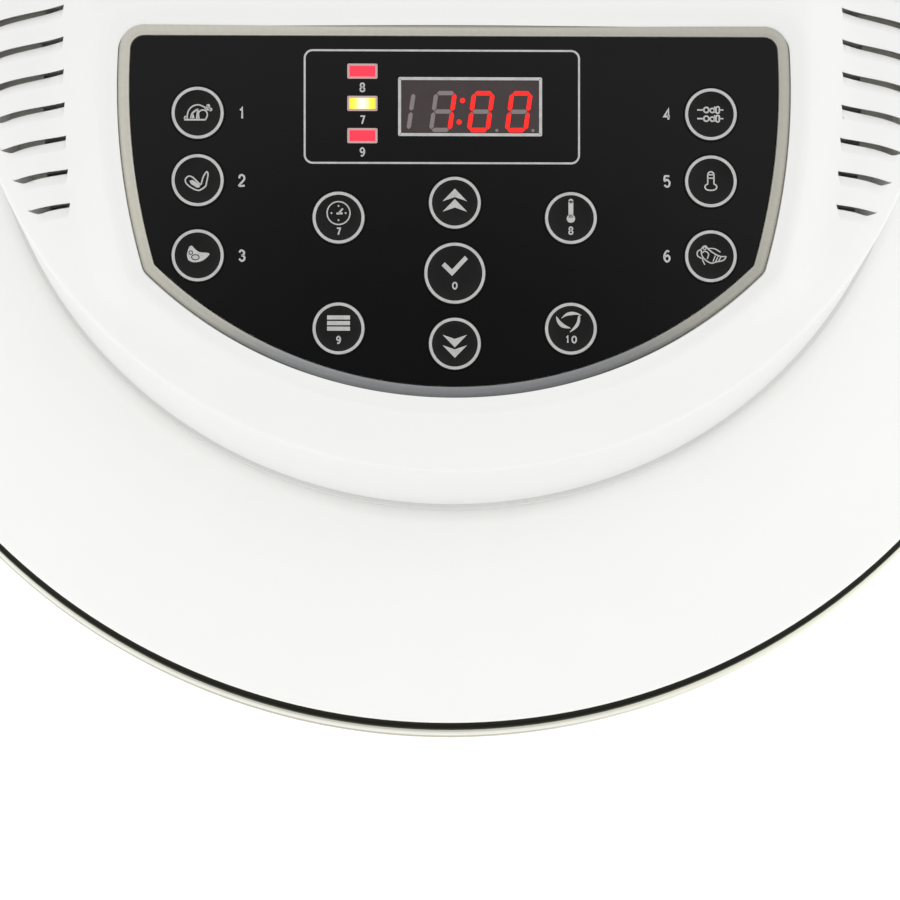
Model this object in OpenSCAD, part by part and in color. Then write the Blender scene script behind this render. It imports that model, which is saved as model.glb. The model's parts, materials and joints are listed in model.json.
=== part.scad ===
// Halogen oven: a glass bowl in a plastic base, under a hinged glass lid whose round
// head carries the heater, the fans and a sloping control panel.
// Heights inside the lid are counted from the plane of the lid's rim, and the panel's
// own u, v and w run sideways, up the slope and out of the panel.

/* [Lid glass] */
// Radius of the lid at its rim
lid_r = 165; // [160:1:172]
// Thickness of the lid's glass
glass_t = 5; // [4:0.5:6]
// Height of the lid's inner flange above its rim
lid_rise = 26; // [22:1:28]
// Radius of the lid's curve, seen in section
lid_curve = 200; // [160:5:300]
// Width of the seat on which the head stands, from its shoulder to the hole in the lid
seat_w = 14; // [12:0.5:16]
// Height of the lid's rim above the table
rim_z = 204; // [198:1:215]

/* [Head] */
// Radius of the head at its shoulder
head_r = 112; // [110:0.5:116]
// How much wider the head is at its foot
head_draft = 1.5; // [0.5:0.25:3]
// Height of the head's crown above its seat on the lid
head_h = 56.7; // [55:0.1:59]
// Radius of the crown's curve, seen in section
crown_curve = 386; // [340:2:450]
// Width of the band where the shoulder rolls over
shoulder_w = 12; // [10:0.5:14]
// Radius of the shoulder's roll
shoulder_roll = 28.6; // [26:0.2:32]
// Radius of the head's outer edge
edge_r = 2.6; // [2.6:0.1:3.4]
// Thickness of the head's plastic
skin = 2.5; // [2:0.1:2.6]
// Thickness of the gasket under the head
gasket_t = 0.8; // [0.5:0.1:1.5]

/* [Vents] */
// Number of slots on each side
vent_count = 13; // [5:1:13]
// Distance from slot to slot
vent_pitch = 7.45; // [7.2:0.05:7.8]
// Width of a slot
vent_w = 3.4; // [2.5:0.1:4]
// Angle by which a slot runs forward towards its outer end
vent_slant = 10; // [0:1:14]
// Place of the front slot, in front of the head's centre
vent_front = 54.3; // [50:0.1:56]
// Distance from the shoulder to the inner ends of the slots
vent_in = 26.2; // [24:0.1:27]
// Distance from the shoulder to the outer ends of the slots
vent_margin = 3; // [2.5:0.1:6]

/* [Control panel] */
// Slope of the panel
panel_tilt = 11; // [8:0.5:12]
// Distance from the head's shoulder back to the panel's middle
panel_in = 50.8; // [49:0.2:52]
// Depth of the panel's middle below the crown
panel_sink = 9; // [7.7:0.1:9.7]
// Half the width of the panel at its widest
panel_half = 71; // [70:0.2:72]
// Height up the slope at which the panel is widest
panel_wide_v = 32; // [28:1:36]
// Radius of the panel's curved sides
side_curve = 139; // [130:1:160]
// Distance up the slope from the panel's middle to its top edge
panel_top = 43.4; // [42.5:0.1:44]
// Distance down the slope from the panel's middle to its bottom
panel_bottom = 33.2; // [32.6:0.1:34]
// Radius of the panel's curved bottom edge
bottom_curve = 94; // [92:0.5:97]
// Radius of the panel's lower corners
low_corner = 1; // [0.6:0.1:4]
// Radius of the panel's upper corners
top_corner = 3; // [2.8:0.1:4]
// Thickness of the panel
panel_t = 2.5; // [2:0.1:3]
// Width of the silver bezel round the panel
bezel_w = 2.6; // [2:0.1:3]
// How far the bezel stands above the panel
bezel_up = 0.5; // [0.2:0.1:1]
// Width of the ledge that carries the panel
ledge_w = 2; // [1.5:0.1:2.4]
// Thickness of that ledge
ledge_t = 2.5; // [2:0.1:3]
// Width of the slope between the bezel and the console's crest
crest_w = 3.6; // [3:0.1:4]
// Height of the console's crest above the panel
crest_up = 2.5; // [2:0.1:3]
// How far the console's foot lies below the panel
console_drop = 8; // [7:0.5:9]
// Distance up the slope from the panel's middle to the console's back crest
console_top = 58; // [56:0.5:60]

/* [Buttons] */
// Radius of a button
button_r = 5.95; // [5.5:0.05:6.1]
// Radius of the confirm button
confirm_r = 6.95; // [6.5:0.05:7]
// Travel of a button
button_travel = 0.5; // [0.3:0.05:0.5]
// How far a button stands above the panel
button_up = 0.3; // [0.1:0.05:0.5]
// Gap round a button
button_gap = 0.12; // [0.08:0.01:0.2]
// Distance from the panel's widest place in to the preset buttons
preset_in = 14.9; // [14.6:0.1:16]
// Place of the upper preset buttons, up the slope
preset_v = 26.5; // [26:0.1:28]
// Distance from the upper preset buttons down to the middle ones
preset_pitch_1 = 14.7; // [14.2:0.1:15.1]
// Distance from the middle preset buttons down to the lower ones
preset_pitch_2 = 16.4; // [15.6:0.1:16.8]
// Distance from the middle line to the setting buttons
setting_u = 25.4; // [24:0.1:26]
// Place of the time and temperature buttons, up the slope
setting_v = 3.7; // [2:0.1:4.5]
// Distance from those buttons down to the delay and reheat buttons
setting_pitch = 24.2; // [22:0.1:24.4]
// Place of the confirm button, up the slope
confirm_v = -8.4; // [-9:0.1:-8]
// Distance from the confirm button to the up and down buttons
arrow_pitch = 15.4; // [15:0.1:15.8]

/* [Display] */
// Width of the display's window
window_w = 31.5; // [28:0.5:32]
// Height of the display's window
window_h = 12.9; // [11:0.1:13.5]
// Sideways place of the window's middle
window_u = 3.3; // [2:0.1:4]
// Place of the window's middle, up the slope
window_v = 28.1; // [27:0.1:29]
// Width of an indicator window
lamp_w = 6.6; // [6:0.1:7]
// Height of an indicator window
lamp_h = 3.3; // [3:0.1:3.6]
// Sideways place of the indicator windows
lamp_u = -20.2; // [-21:0.1:-19]
// Place of the middle indicator window, up the slope
lamp_v = 28.7; // [28:0.1:29.4]
// Distance between indicator windows
lamp_pitch = 7.05; // [6:0.05:7.4]

/* [Electronics] */
// Depth of the control board's top below the panel's face
board_drop = 9.8; // [9.6:0.1:10.4]
// Thickness of a circuit board
board_t = 1.6; // [1.2:0.1:1.8]
// Width of the power board
power_w = 88; // [70:1:92]
// Depth of the power board, front to back
power_l = 30; // [26:1:32]

/* [Heater and fans] */
// Thickness of the reflector's sheet
sheet_t = 1; // [0.8:0.1:1.2]
// Gap between the reflector's skirt and the hole in the lid
reflector_gap = 2; // [1:0.5:4]
// Depth of the reflector's skirt
reflector_h = 38; // [34:1:42]
// Distance from the reflector's skirt in to the middle of the halogen tube
tube_in = 20; // [17:1:22]
// Radius of the halogen tube itself
tube_r = 5.5; // [4.5:0.1:6]
// Drop from the reflector's sheet to the middle of the halogen tube
tube_drop = 17.7; // [16:0.1:20]
// Radius of the fan shaft
shaft_r = 3; // [2.5:0.1:3.5]
// Radius of the fan in the bowl
hot_fan_r = 55; // [48:1:57]
// Radius of the fan that cools the motor
cool_fan_r = 30; // [26:0.5:31]
// Running clearance on a radius, for a shaft or pin
run = 0.05; // [0.03:0.01:0.08]

/* [Bowl] */
// How far the bowl's rim reaches past the lid
bowl_lip = 1.5; // [1:0.5:6]
// Thickness of the bowl's wall
bowl_wall = 5; // [4:0.5:6]
// How far the bowl's rim stands out from its wall
bead_out = 8.5; // [7.5:0.5:12]
// Radius of the bowl's outside at its foot
bowl_foot_r = 143; // [138:1:146]
// Radius of the round between the bowl's floor and its wall
bowl_corner = 26; // [20:1:32]
// Gap between the lid and the bowl's rim
rim_gap = 0.4; // [0.3:0.05:0.8]

/* [Base] */
// Room between the bowl's foot and the base's wall at its top
base_room = 8; // [7:0.5:11]
// How much narrower the base is at the bottom
base_taper = 8; // [4:0.5:9]
// Height of the base's top edge
base_top = 64; // [58:1:70]
// Height of the base's lower edge
base_low = 6; // [4:0.5:7]
// Thickness of the base's plastic
base_wall = 3; // [2.5:0.1:3.4]
// Height of the shelf under the bowl
shelf_z = 22; // [20:0.5:24]
// Thickness of the pads under the bowl
pad_t = 3; // [2:0.5:4]
// How far the side handles reach past the base
handle_reach = 23; // [18:1:28]
// Width of a side handle
handle_w = 110; // [90:2:120]

/* [Hinge] */
// Distance from the bowl's rim back to the hinge
hinge_out = 21.5; // [20:0.5:29]
// Height of the hinge above the lid's rim
hinge_up = 10; // [9:0.5:14]
// Radius of the hinge's barrel
barrel_r = 11; // [10:0.5:12]
// Radius of the hinge pin
pin_r = 4; // [3:0.25:5]
// Width of the lid's hinge arm
arm_w = 64; // [50:1:70]
// Width of a knuckle on the post
knuckle_w = 12; // [10:0.5:14]
// Gap between the arm and a knuckle
knuckle_gap = 0.3; // [0.2:0.05:0.6]
// Depth of the post, front to back
post_l = 28; // [26:1:29]
// Height of the base's rear block, on which the post stands
block_top = 40; // [36:1:44]

/* [Carrying handle] */
// Distance between the middles of the handle's arms
bail_span = 129; // [124:1:130]
// Reach of the handle behind its pivots
bail_reach = 62; // [58:1:64]
// Width of the handle's bar
bail_w = 10; // [9:0.5:11]
// Thickness of the handle's bar
bail_t = 9; // [8:0.5:10]
// Distance from the head's centre back to the handle's pivots
bail_y = 24; // [23:0.5:26]
// Height of the handle's pivots above the crown
bail_up = 2.8; // [2.8:0.1:4.3]
// Slope at which the folded handle lies
bail_slope = 6; // [4:0.5:6.5]
// Radius of the handle's pivot pins
bail_pin_r = 2.5; // [2:0.1:3]

/* [Hidden] */
$fn = 96;
// Overlap that joins or cuts shapes cleanly, and the play of a screw in its hole
e = 0.01;
fit = 0.05;

// The bowl's axis lies in front of the origin, so that the whole oven is centred on it.
bowl_r = lid_r + bowl_lip;
hinge_y = bowl_r + hinge_out;
block_margin = 4;
block_back = hinge_y + post_l/2 + block_margin;
axis_y = -(block_back - bowl_r)/2;
hinge_z = hinge_up;

// Lid glass
flange_w = 4;
flange_r = head_r + flange_w;
neck_r = head_r - seat_w;
lid_low = -glass_t;
edge_flat = 0.6;
rim_bevel = 1.6;
rim_flat = 7;

// Head: levels above the lid's rim
crown_z = lid_rise + head_h;
gasket_z = lid_rise + gasket_t;
gasket_in = 1;
gasket_out = 2;
floor_t = 2.5;
floor_z = gasket_z + floor_t;
lip_t = 1.7;
lip_out = 1;
shell_z = gasket_z + lip_t;
rib_t = 2;
rib_h = 6;
rib_gap = 1.2;
floor_gap = 0.3;
wire_hole_r = 12;
foot_r = head_r + head_draft;
shoulder_a = asin((head_r - shoulder_w)/crown_curve);
edge_a = 40;

// Console and panel
panel_y = head_r - panel_in;
panel_z = crown_z - panel_sink;
preset_u = panel_half - preset_in;
vent_x = head_r - vent_in;
vent_low = shell_z + head_h/2;
crest_d = bezel_w + crest_w;
seat_gap = 0.1;
crest_flat = 0.3;
over = 20;
cap_flange_w = 0.8;
cap_flange_t = 0.8;
flange_gap = 0.3;
flange_room = 0.4;
button_low = panel_t + flange_gap + cap_flange_t;
window_drop = 0.2;
module_gap = 0.4;
lens_gap = 0.3;
switch_w = 6;
switch_tip_r = 1.75;
switch_body = 3.5;
switch_tip = 1.5;
switch_gap = 0.05;
stem_low = board_drop - switch_body - switch_tip - button_travel - switch_gap;
stem_r = 1.5;
board_inset = 5.5;
boss_r = 3.2;
screw_r = 1.2;
screw_head_r = 2.6;
screw_head_t = 1.6;
console_spread = 14;
console_back = 6;
sharp = 0.4;

PRESET_VS = [preset_v, preset_v - preset_pitch_1, preset_v - preset_pitch_1 - preset_pitch_2];
PRESETS = [for (side = [-1, 1]) for (v = PRESET_VS) [side*preset_u, v]];
TIME = [-setting_u, setting_v];
TEMP = [setting_u, setting_v];
DELAY = [-setting_u, setting_v - setting_pitch];
REHEAT = [setting_u, setting_v - setting_pitch];
CONFIRM = [0, confirm_v];
UP = [0, confirm_v + arrow_pitch];
DOWN = [0, confirm_v - arrow_pitch];
BUTTONS = concat(PRESETS, [TIME, TEMP, DELAY, REHEAT, UP, DOWN, CONFIRM]);
function button_radius(p) = p == CONFIRM ? confirm_r : button_r;
boss_u = 41;
boss_high = 34;
boss_down = 12;
BOARD_POSTS = [for (v = [boss_high, -boss_down]) for (s = [-1, 1]) [s*boss_u, v]];
board_grip = 5;

// Heater box under the head
plate_gap = 0.3;
plate_top = lid_rise - glass_t - plate_gap;
plate_low = plate_top - sheet_t;
plate_lip = 10;
flange_out = neck_r + plate_lip;
reflector_r = neck_r - reflector_gap - sheet_t;
tube_ring_r = reflector_r - tube_in;
shaft_hole_r = 7;
probe_gap = 0.2;
felt_t = 3;
felt_gap = 1.5;
felt_hole_r = 10;
felt_z = plate_top;
skirt_low = plate_top - reflector_h;
lip_w = 8;
lip_in = reflector_r - lip_w;
guard_t = 1;
// Rings of slots in the guard: inner end, outer end and how many
GUARD_SLOTS = [[14, 34, 12], [40, 60, 24], [66, 84, 36]];
guard_slot_w = 5;
guard_grip = 6;
clip_w = 6;
clip_t = 1.4;
clip_gap = 0.25;
clip_mouth = 5;
clip_post_w = 4;
tube_z = plate_low - tube_drop;
tube_gap_a = 16;
holder_a = 4;
holder_fit = 0.1;
holder_wall = 3;
holder_w = 2*(tube_r + holder_wall);
lid_screw_r = 1.9;
lid_screw_head_r = 3;
lid_screw_head_t = 2.4;
lid_screw_edge = 1.2;
lid_screw_ring = reflector_r - lid_screw_head_r - lid_screw_edge;
LID_SCREWS = [for (a = [-113, -67, 54, 126]) lid_screw_ring*[cos(a), sin(a)]];
lid_post_r = 3.6;
GUARD_SCREWS = [0, 90, 180, 270];
guard_screw_r = (lip_in + reflector_r)/2;
probe_x = 45;
probe_y = -44;
probe_r = 2.2;
probe_reach = 26;
probe_room = 1;
probe_up = 4;
probe_cap_r = 5;
probe_cap_t = 3;
lid_screw_grip = 14;
lid_screw_top = floor_z + lid_screw_grip;
screw_room = 2;

// Motor
bracket_t = 1.5;
bracket_w = 14;
bush_up = 1.2;
motor_post_h = 3;
motor_gap = 2.5;
low_bracket_z = floor_z + motor_post_h;
stator_z = low_bracket_z + bracket_t + motor_gap;
stator_h = 16;
high_bracket_z = stator_z + stator_h + motor_gap;
rotor_r = 14;
air_gap = 0.5;
stator_half = 27;
stator_front = 24;
coil_w = 32;
bar_y = 32;
bar_w = 10;
coil_wall = 4.5;
cool_gap = 2;
cool_z = high_bracket_z + bracket_t + cool_gap;
cool_h = 7;
cool_hub_r = 7;
cool_blades = 9;
cool_pitch = 35;
hot_fan_gap = 3;
hot_fan_top = plate_low - hot_fan_gap;
hot_fan_h = 11;
hot_blades = 8;
plate_w = 6;
hub_r = 9;
blade_t = 1.2;
blade_root = 2;
blade_in = 1.2;
nut_h = 5;
nut_r = 6.4;
washer_r = 7.5;
washer_t = 1;
shaft_out = 2;
shaft_up = 1;
rotor_up = 0.5;
bush_r = 6.5;
tie_in = 3.5;
tie_x = stator_half - tie_in;
tie_r = 1.8;
motor_post_r = 4;
motor_post_in = 5;
MOTOR_POSTS = [for (s = [-1, 1]) [s*(stator_half - motor_post_in), 0]];

// Power board
power_gap = 4;
power_y = bar_y + bar_w + coil_wall + power_gap + power_l/2;
power_up = 7;
power_z = floor_z + power_up;
power_post_r = 3;
power_post_x = power_w/2 - 5;
power_post_y = power_l/2 - 4;
POWER_POSTS = [for (x = [-1, 1]) for (y = [-1, 1]) [x*power_post_x, power_y + y*power_post_y]];

// Bowl and base
bowl_top = rim_z - glass_t - rim_gap;
bowl_low = shelf_z + pad_t;
bowl_top_r = bowl_r - bead_out;
bead_h = 8;
bead_r = 3;
bead_run = 4;
lip_r = 1.5;
post_w = arm_w + 2*(knuckle_gap + knuckle_w);
block_w = post_w + block_margin;
block_corner = 10;
post_gap = 1.5;
post_top = rim_z + hinge_z - barrel_r - post_gap;
post_corner = 6;
post_roof = 4;
post_hollow_r = 4;
post_side = 14;
knuckle_root = 10;
base_r = bowl_foot_r + base_room + base_wall;
base_lip = 2;
base_bevel = 1;
base_hole_r = 60;
block_root = 44;
cover_in = 2;
cover_z = base_low + cover_in;
cover_t = 2.5;
cover_gap = 0.3;
cover_screw_in = 36;
cover_slot_w = 4;
cover_slot_l = 30;
cover_slot_r = 40;
foot_pad_r = 10;
foot_pad_taper = 1;
foot_in = 28;
foot_back = 15;
foot_x = 30;
foot_ring = base_r - base_taper - foot_in;
FEET = [for (a = [45, 135, 225, 315]) foot_ring*[cos(a), sin(a)]];
BACK_FEET = [for (s = [-1, 1]) [s*foot_x, block_back - foot_back]];
pad_r = 8;
pad_in = 12;
pad_ring = bowl_foot_r - bowl_corner - pad_in;
rack_up = 28;
rack_z = bowl_low + bowl_wall + rack_up;
wire_r = 1.6;
thin_wire_r = 0.8*wire_r;
leg_r = 0.9*wire_r;
rack_r = bowl_foot_r - bowl_wall - bowl_corner;
rack_step = 18;
rack_side = floor((rack_r - rack_step/2)/rack_step);
gland_r = 7;
gland_lip = 1.5;
gland_t = 3;
cord_r = 3.6;
gland_z = (block_top + base_low)/2;
cover_screw_r = 4;
post_screw_x = post_w/2 - 9;
post_screw_y = post_l/2 - 8;
POST_SCREWS = [for (x = [-1, 1]) for (y = [-1, 1]) [x*post_screw_x, hinge_y + y*post_screw_y]];
cover_ring = base_r - base_taper - cover_screw_in;
COVER_SCREWS = [for (a = [0, 90, 180]) cover_ring*[cos(a), sin(a)]];
cover_grip = 6;
post_grip = 12;
side_grip = 16;

// Radius of the base's inner face at height z.
base_rise = base_top - base_lip - base_low;
function base_inner(z) = base_r - base_wall - base_taper*(base_top - base_lip - z)/base_rise;
side_t = 14;
side_drop = 8;
side_z = base_top - side_drop - side_t;
side_root = 40;
side_wall = 3;
side_wall_in = 1;
side_roof = 4;
side_hollow_r = 6;
side_gap = 0.1;
side_mid = side_z + side_t/2;
side_corner = 20;
SIDE_SCREWS = [-handle_w/4, handle_w/4];
side_screw_x = sqrt(pow(base_inner(side_mid - lid_screw_head_r), 2)
    - pow(handle_w/4 + lid_screw_head_r, 2)) - side_gap;
flat_head_t = 1.4;

// Hinge arm: where its foot starts inside the head, and how thick the foot is
arm_in = 27.5;
arm_root = foot_r - arm_in;
arm_foot_t = 3;
arm_wall = 4;
arm_up = 24;
arm_top = shell_z + arm_up;
arm_gap = 0.3;
arm_slot = 8;
arm_screw_in = 12;
arm_screw_y = 8;
ARM_SCREWS = [for (x = [-1, 1]) [x*(arm_w/2 - arm_screw_in), arm_root + arm_screw_y]];

// Handle
bail_z = crown_z + bail_up;
bail_corner = 30;
hub_w = bail_w;
bail_hub_r = 6.5;
ear_gap = 0.4;
ear_w = 7;
ear_l = 16;
pin_play = 0.5;
pin_head = 1.5;
pin_head_t = 1;
ear_x = bail_span/2 + hub_w/2 + ear_gap;
tip_y = 16;
tip_r = 1.5;
tip_room = 0.3;
tip_gap = 0.4;
tip_in = 5;
safety_drop = 16.7;
safety_top = crown_z - safety_drop;
safety_body = 12;
safety_w = 10;
safety_l = 16;
safety_hole = 8;
safety_foot_w = 12;
safety_foot_l = 10;
safety_foot_t = 3;
safety_stem_w = 6;
safety_stem_l = 8;

// Points along an arc, n steps from angle a0 to angle a1.
function arc(c, r, a0, a1, n) = [for (i = [0:n]) c + r*[cos(a0 + (a1 - a0)*i/n), sin(a0 + (a1 - a0)*i/n)]];

// Height of the lid's upper face at radius r: an arc between the rim and the inner flange.
lid_run = lid_r - flange_r;
lid_chord = norm([lid_run, lid_rise]);
lid_half = asin(lid_chord/2/lid_curve);
lid_chord_a = atan2(lid_rise, lid_run);
lid_centre = [flange_r, lid_rise]
    - lid_curve*[sin(lid_chord_a - lid_half), cos(lid_chord_a - lid_half)];
function lid_face(t, n) = arc(lid_centre, lid_curve - t,
    90 - lid_chord_a - lid_half, 90 - lid_chord_a + lid_half, n);

// The head's outline in section, t inside its outer face, from the axis to the foot.
function head_section(t, low) =
    let (c1 = [0, crown_z - crown_curve],
         c2 = c1 + (crown_curve - shoulder_roll)*[sin(shoulder_a), cos(shoulder_a)],
         c3 = c2 + (shoulder_roll - edge_r)*[sin(edge_a), cos(edge_a)])
    concat(arc(c1, crown_curve - t, 90, 90 - shoulder_a, 10),
           arc(c2, shoulder_roll - t, 90 - shoulder_a, 90 - edge_a, 6),
           arc(c3, max(edge_r - t, 0.02), 90 - edge_a, 2, 4),
           [[foot_r - t, low]]);

// The panel's outline, d outside its black edge, with its top edge at height top.
// Its corners keep at least the radius sharp, so that the outline can also be drawn in.
function panel_half_outline(d, top, top_r) =
    let (r = max(top_r, sharp - d),
         low_r = max(low_corner, sharp - d),
         b = [0, bottom_curve - panel_bottom],
         s = [panel_half - side_curve, panel_wide_v],
         rb = bottom_curve - low_r,
         rs = side_curve - low_r,
         g = norm(s - b),
         x = (rb*rb - rs*rs + g*g)/(2*g),
         h = sqrt(rb*rb - x*x),
         along = (s - b)/g,
         f = b + x*along + h*[-along[1], along[0]],
         q = [s[0] + sqrt(pow(side_curve - r, 2) - pow(top - r - s[1], 2)), top - r],
         a1 = atan2(f[1] - b[1], f[0] - b[0]),
         a2 = atan2(f[1] - s[1], f[0] - s[0]),
         a3 = atan2(q[1] - s[1], q[0] - s[0]))
    concat(arc(b, bottom_curve + d, -90, a1, 10),
           arc(f, low_r + d, a1, a2, 3),
           arc(s, side_curve + d, a2, a3, 6),
           arc(q, r + d, a3, 90, 4));
function panel_outline(d, top = panel_top, r = top_corner) =
    let (half = panel_half_outline(d, top, r), last = len(half) - 1)
    concat(half, [for (i = [last:-1:1]) [-half[i][0], half[i][1]]]);

module in_lid() { translate([0, axis_y, rim_z]) children(); }
module in_bowl() { translate([0, axis_y, 0]) children(); }
// The panel's own frame: inside the lid, and on the finished oven.
module at_panel() { translate([0, -panel_y, panel_z]) rotate([panel_tilt, 0, 0]) children(); }
module on_panel() { in_lid() at_panel() children(); }
module tube(r, inner, h) {
    difference() {
        cylinder(r = r, h = h);
        translate([0, 0, -e]) cylinder(r = inner, h = h + 2*e);
    }
}
module block(size, r) {
    linear_extrude(size[2]) rounded(size[0], size[1], r);
}
module rounded(w, l, r) {
    polygon([for (k = [0:3]) each arc([(k == 0 || k == 3 ? 1 : -1)*(w/2 - r), (k < 2 ? 1 : -1)*(l/2 - r)],
        r, 90*k, 90*k + 90, 6)]);
}
// A screw that points up, with its head under the face it holds.
module screw(r, head_r, head_t, length) {
    translate([0, 0, -head_t]) cylinder(r = head_r, h = head_t);
    cylinder(r = r, h = length);
}
// A plate with the panel's outline, d larger all round, from height w upward.
module slab(d, w, h, top = panel_top, r = top_corner) {
    translate([0, 0, w]) linear_extrude(h) polygon(panel_outline(d, top, r));
}

// Base

module base_section() {
    under = shelf_z - base_wall;
    edge = base_top - base_lip;
    polygon([[base_r - base_taper, base_low], [base_r, edge], [base_r - base_bevel, base_top],
        [base_inner(edge), base_top], [base_inner(edge), edge],
        [base_inner(shelf_z), shelf_z], [base_hole_r, shelf_z], [base_hole_r, under],
        [base_inner(under), under], [base_inner(base_low), base_low]]);
}
module block_plan(inset) {
    back = block_back - inset;
    front = base_r - block_root;
    translate([0, (back + front)/2])
        rounded(block_w - 2*inset, back - front, block_corner - inset);
}
// The base's outer face, grown by d, as a solid cone that runs past it above and below.
module base_cone(d) {
    spread = base_taper*base_lip/base_rise;
    translate([0, 0, base_low - base_lip]) cylinder(r1 = base_r - base_taper - spread + d,
        r2 = base_r + spread + d, h = base_rise + 2*base_lip);
}
module base_shell() {
    color("white") in_bowl() {
        difference() {
            union() {
                rotate_extrude() base_section();
                difference() {
                    translate([0, 0, base_low]) linear_extrude(block_top - base_low) block_plan(0);
                    base_cone(-1);
                }
            }
            // The block is hollow: open to the base below the shelf, closed off from it above
            translate([0, 0, base_low - e]) linear_extrude(shelf_z - base_wall - base_low + e)
                block_plan(base_wall);
            difference() {
                translate([0, 0, shelf_z - base_wall - e])
                    linear_extrude(block_top - shelf_z + e) block_plan(base_wall);
                base_cone(0);
            }
            // Screws of the post and of the side handles, and the cord's way out
            for (p = POST_SCREWS) translate([p[0], p[1], block_top - base_wall - e])
                cylinder(r = lid_screw_r + fit, h = base_wall + 2*e);
            translate([0, block_back - base_wall - e, gland_z]) rotate([-90, 0, 0])
                cylinder(r = gland_r, h = base_wall + 2*e);
            for (s = [-1, 1]) for (y = SIDE_SCREWS)
                translate([s*side_screw_x, y, side_mid]) rotate([0, s*90, 0])
                    cylinder(r = lid_screw_r + fit, h = side_grip);
        }
        for (p = COVER_SCREWS) translate([p[0], p[1], cover_z + cover_t])
            tube(cover_screw_r, lid_screw_r + fit, shelf_z - base_wall - cover_z - cover_t + e);
    }
}

module bottom_cover() {
    color("gainsboro") in_bowl() difference() {
        translate([0, 0, cover_z]) union() {
            cylinder(r = base_r - base_taper - base_wall - cover_gap, h = cover_t);
            linear_extrude(cover_t) block_plan(base_wall + cover_gap);
        }
        for (p = COVER_SCREWS) translate([p[0], p[1], cover_z - e])
            cylinder(r = lid_screw_r + fit, h = cover_t + 2*e);
        // Air slots
        for (a = [0:20:340]) rotate(a) translate([-cover_slot_w/2, cover_slot_r, cover_z - e])
            cube([cover_slot_w, cover_slot_l, cover_t + 2*e]);
    }
}
module rubber_feet() {
    color("dimgray") in_bowl() for (p = concat(FEET, BACK_FEET)) translate([p[0], p[1], 0])
        cylinder(r1 = foot_pad_r - foot_pad_taper, r2 = foot_pad_r, h = cover_z);
}
module base_screws() {
    color("silver") in_bowl() {
        for (p = COVER_SCREWS) translate([p[0], p[1], cover_z])
            screw(lid_screw_r, lid_screw_head_r, flat_head_t, cover_t + cover_grip);
        for (p = POST_SCREWS) translate([p[0], p[1], block_top - base_wall])
            screw(lid_screw_r, lid_screw_head_r, lid_screw_head_t, base_wall + post_grip);
        for (s = [-1, 1]) for (y = SIDE_SCREWS) translate([s*side_screw_x, y, side_mid])
            rotate([0, s*90, 0]) screw(lid_screw_r, lid_screw_head_r, flat_head_t, side_grip);
    }
}
module side_handles() {
    out = base_r + handle_reach - side_corner;
    wide = handle_w/2 - side_corner;
    color("white") in_bowl() for (s = [-1, 1]) mirror([s < 0 ? 1 : 0, 0, 0]) difference() {
        translate([0, 0, side_z]) linear_extrude(side_t)
            polygon(concat(arc([out, wide], side_corner, 90, 0, 8), arc([out, -wide], side_corner, 0, -90, 8),
                [[base_r - side_root, -handle_w/2], [base_r - side_root, handle_w/2]]));
        base_cone(side_gap);
        // Hollow under the handle for the fingers
        translate([base_r + handle_reach/2 - side_wall + side_wall_in, 0, side_z - e])
            block([handle_reach - 2*side_wall, handle_w/2 - 2*lid_screw_head_r - 2*side_wall,
                side_t - side_roof], side_hollow_r);
        for (y = SIDE_SCREWS) translate([side_screw_x, y, side_mid]) rotate([0, 90, 0])
            cylinder(r = lid_screw_r + fit, h = side_grip + screw_room);
    }
}
module bowl_pads() {
    color("dimgray") in_bowl() for (a = [30:60:330]) rotate(a) translate([pad_ring, 0, shelf_z])
        cylinder(r = pad_r, h = pad_t);
}
// One side of the bowl's wall in section, t inside its outer face, from the axis upward.
function bowl_side(t) =
    let (slope = atan2(bowl_top_r - bowl_foot_r, bowl_top - bowl_low),
         c = [bowl_foot_r - bowl_corner*(1 - sin(slope))/cos(slope), bowl_low + bowl_corner])
    concat([[0, bowl_low + t]], arc(c, bowl_corner - t, -90, -slope, 8));
module glass_bowl() {
    outer = bowl_side(0);
    inner = bowl_side(bowl_wall);
    color("azure", 0.5) in_bowl() rotate_extrude() polygon(concat(outer,
        [[bowl_top_r, bowl_top - bead_h - bead_run]],
        arc([bowl_r - bead_r, bowl_top - bead_h + bead_r], bead_r, -80, 0, 5),
        arc([bowl_r - bead_r, bowl_top - bead_r], bead_r, 0, 90, 5),
        arc([bowl_top_r - bowl_wall + lip_r, bowl_top - lip_r], lip_r, 90, 180, 4),
        [for (i = [len(inner) - 1:-1:0]) inner[i]]));
}
module wire_rack() {
    leg = rack_z - bowl_low - bowl_wall;
    color("silver") in_bowl() translate([0, 0, rack_z]) {
        rotate_extrude() translate([rack_r, 0]) circle(r = wire_r, $fn = 20);
        for (k = [-rack_side:rack_side]) let (x = k*rack_step, half = sqrt(rack_r*rack_r - x*x))
            translate([x, half, 0]) rotate([90, 0, 0]) cylinder(r = thin_wire_r, h = 2*half, $fn = 20);
        for (a = [45:90:315]) rotate(a) translate([rack_r, 0, -leg])
            cylinder(r = leg_r, h = leg, $fn = 20);
    }
}

// Hinge

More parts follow.
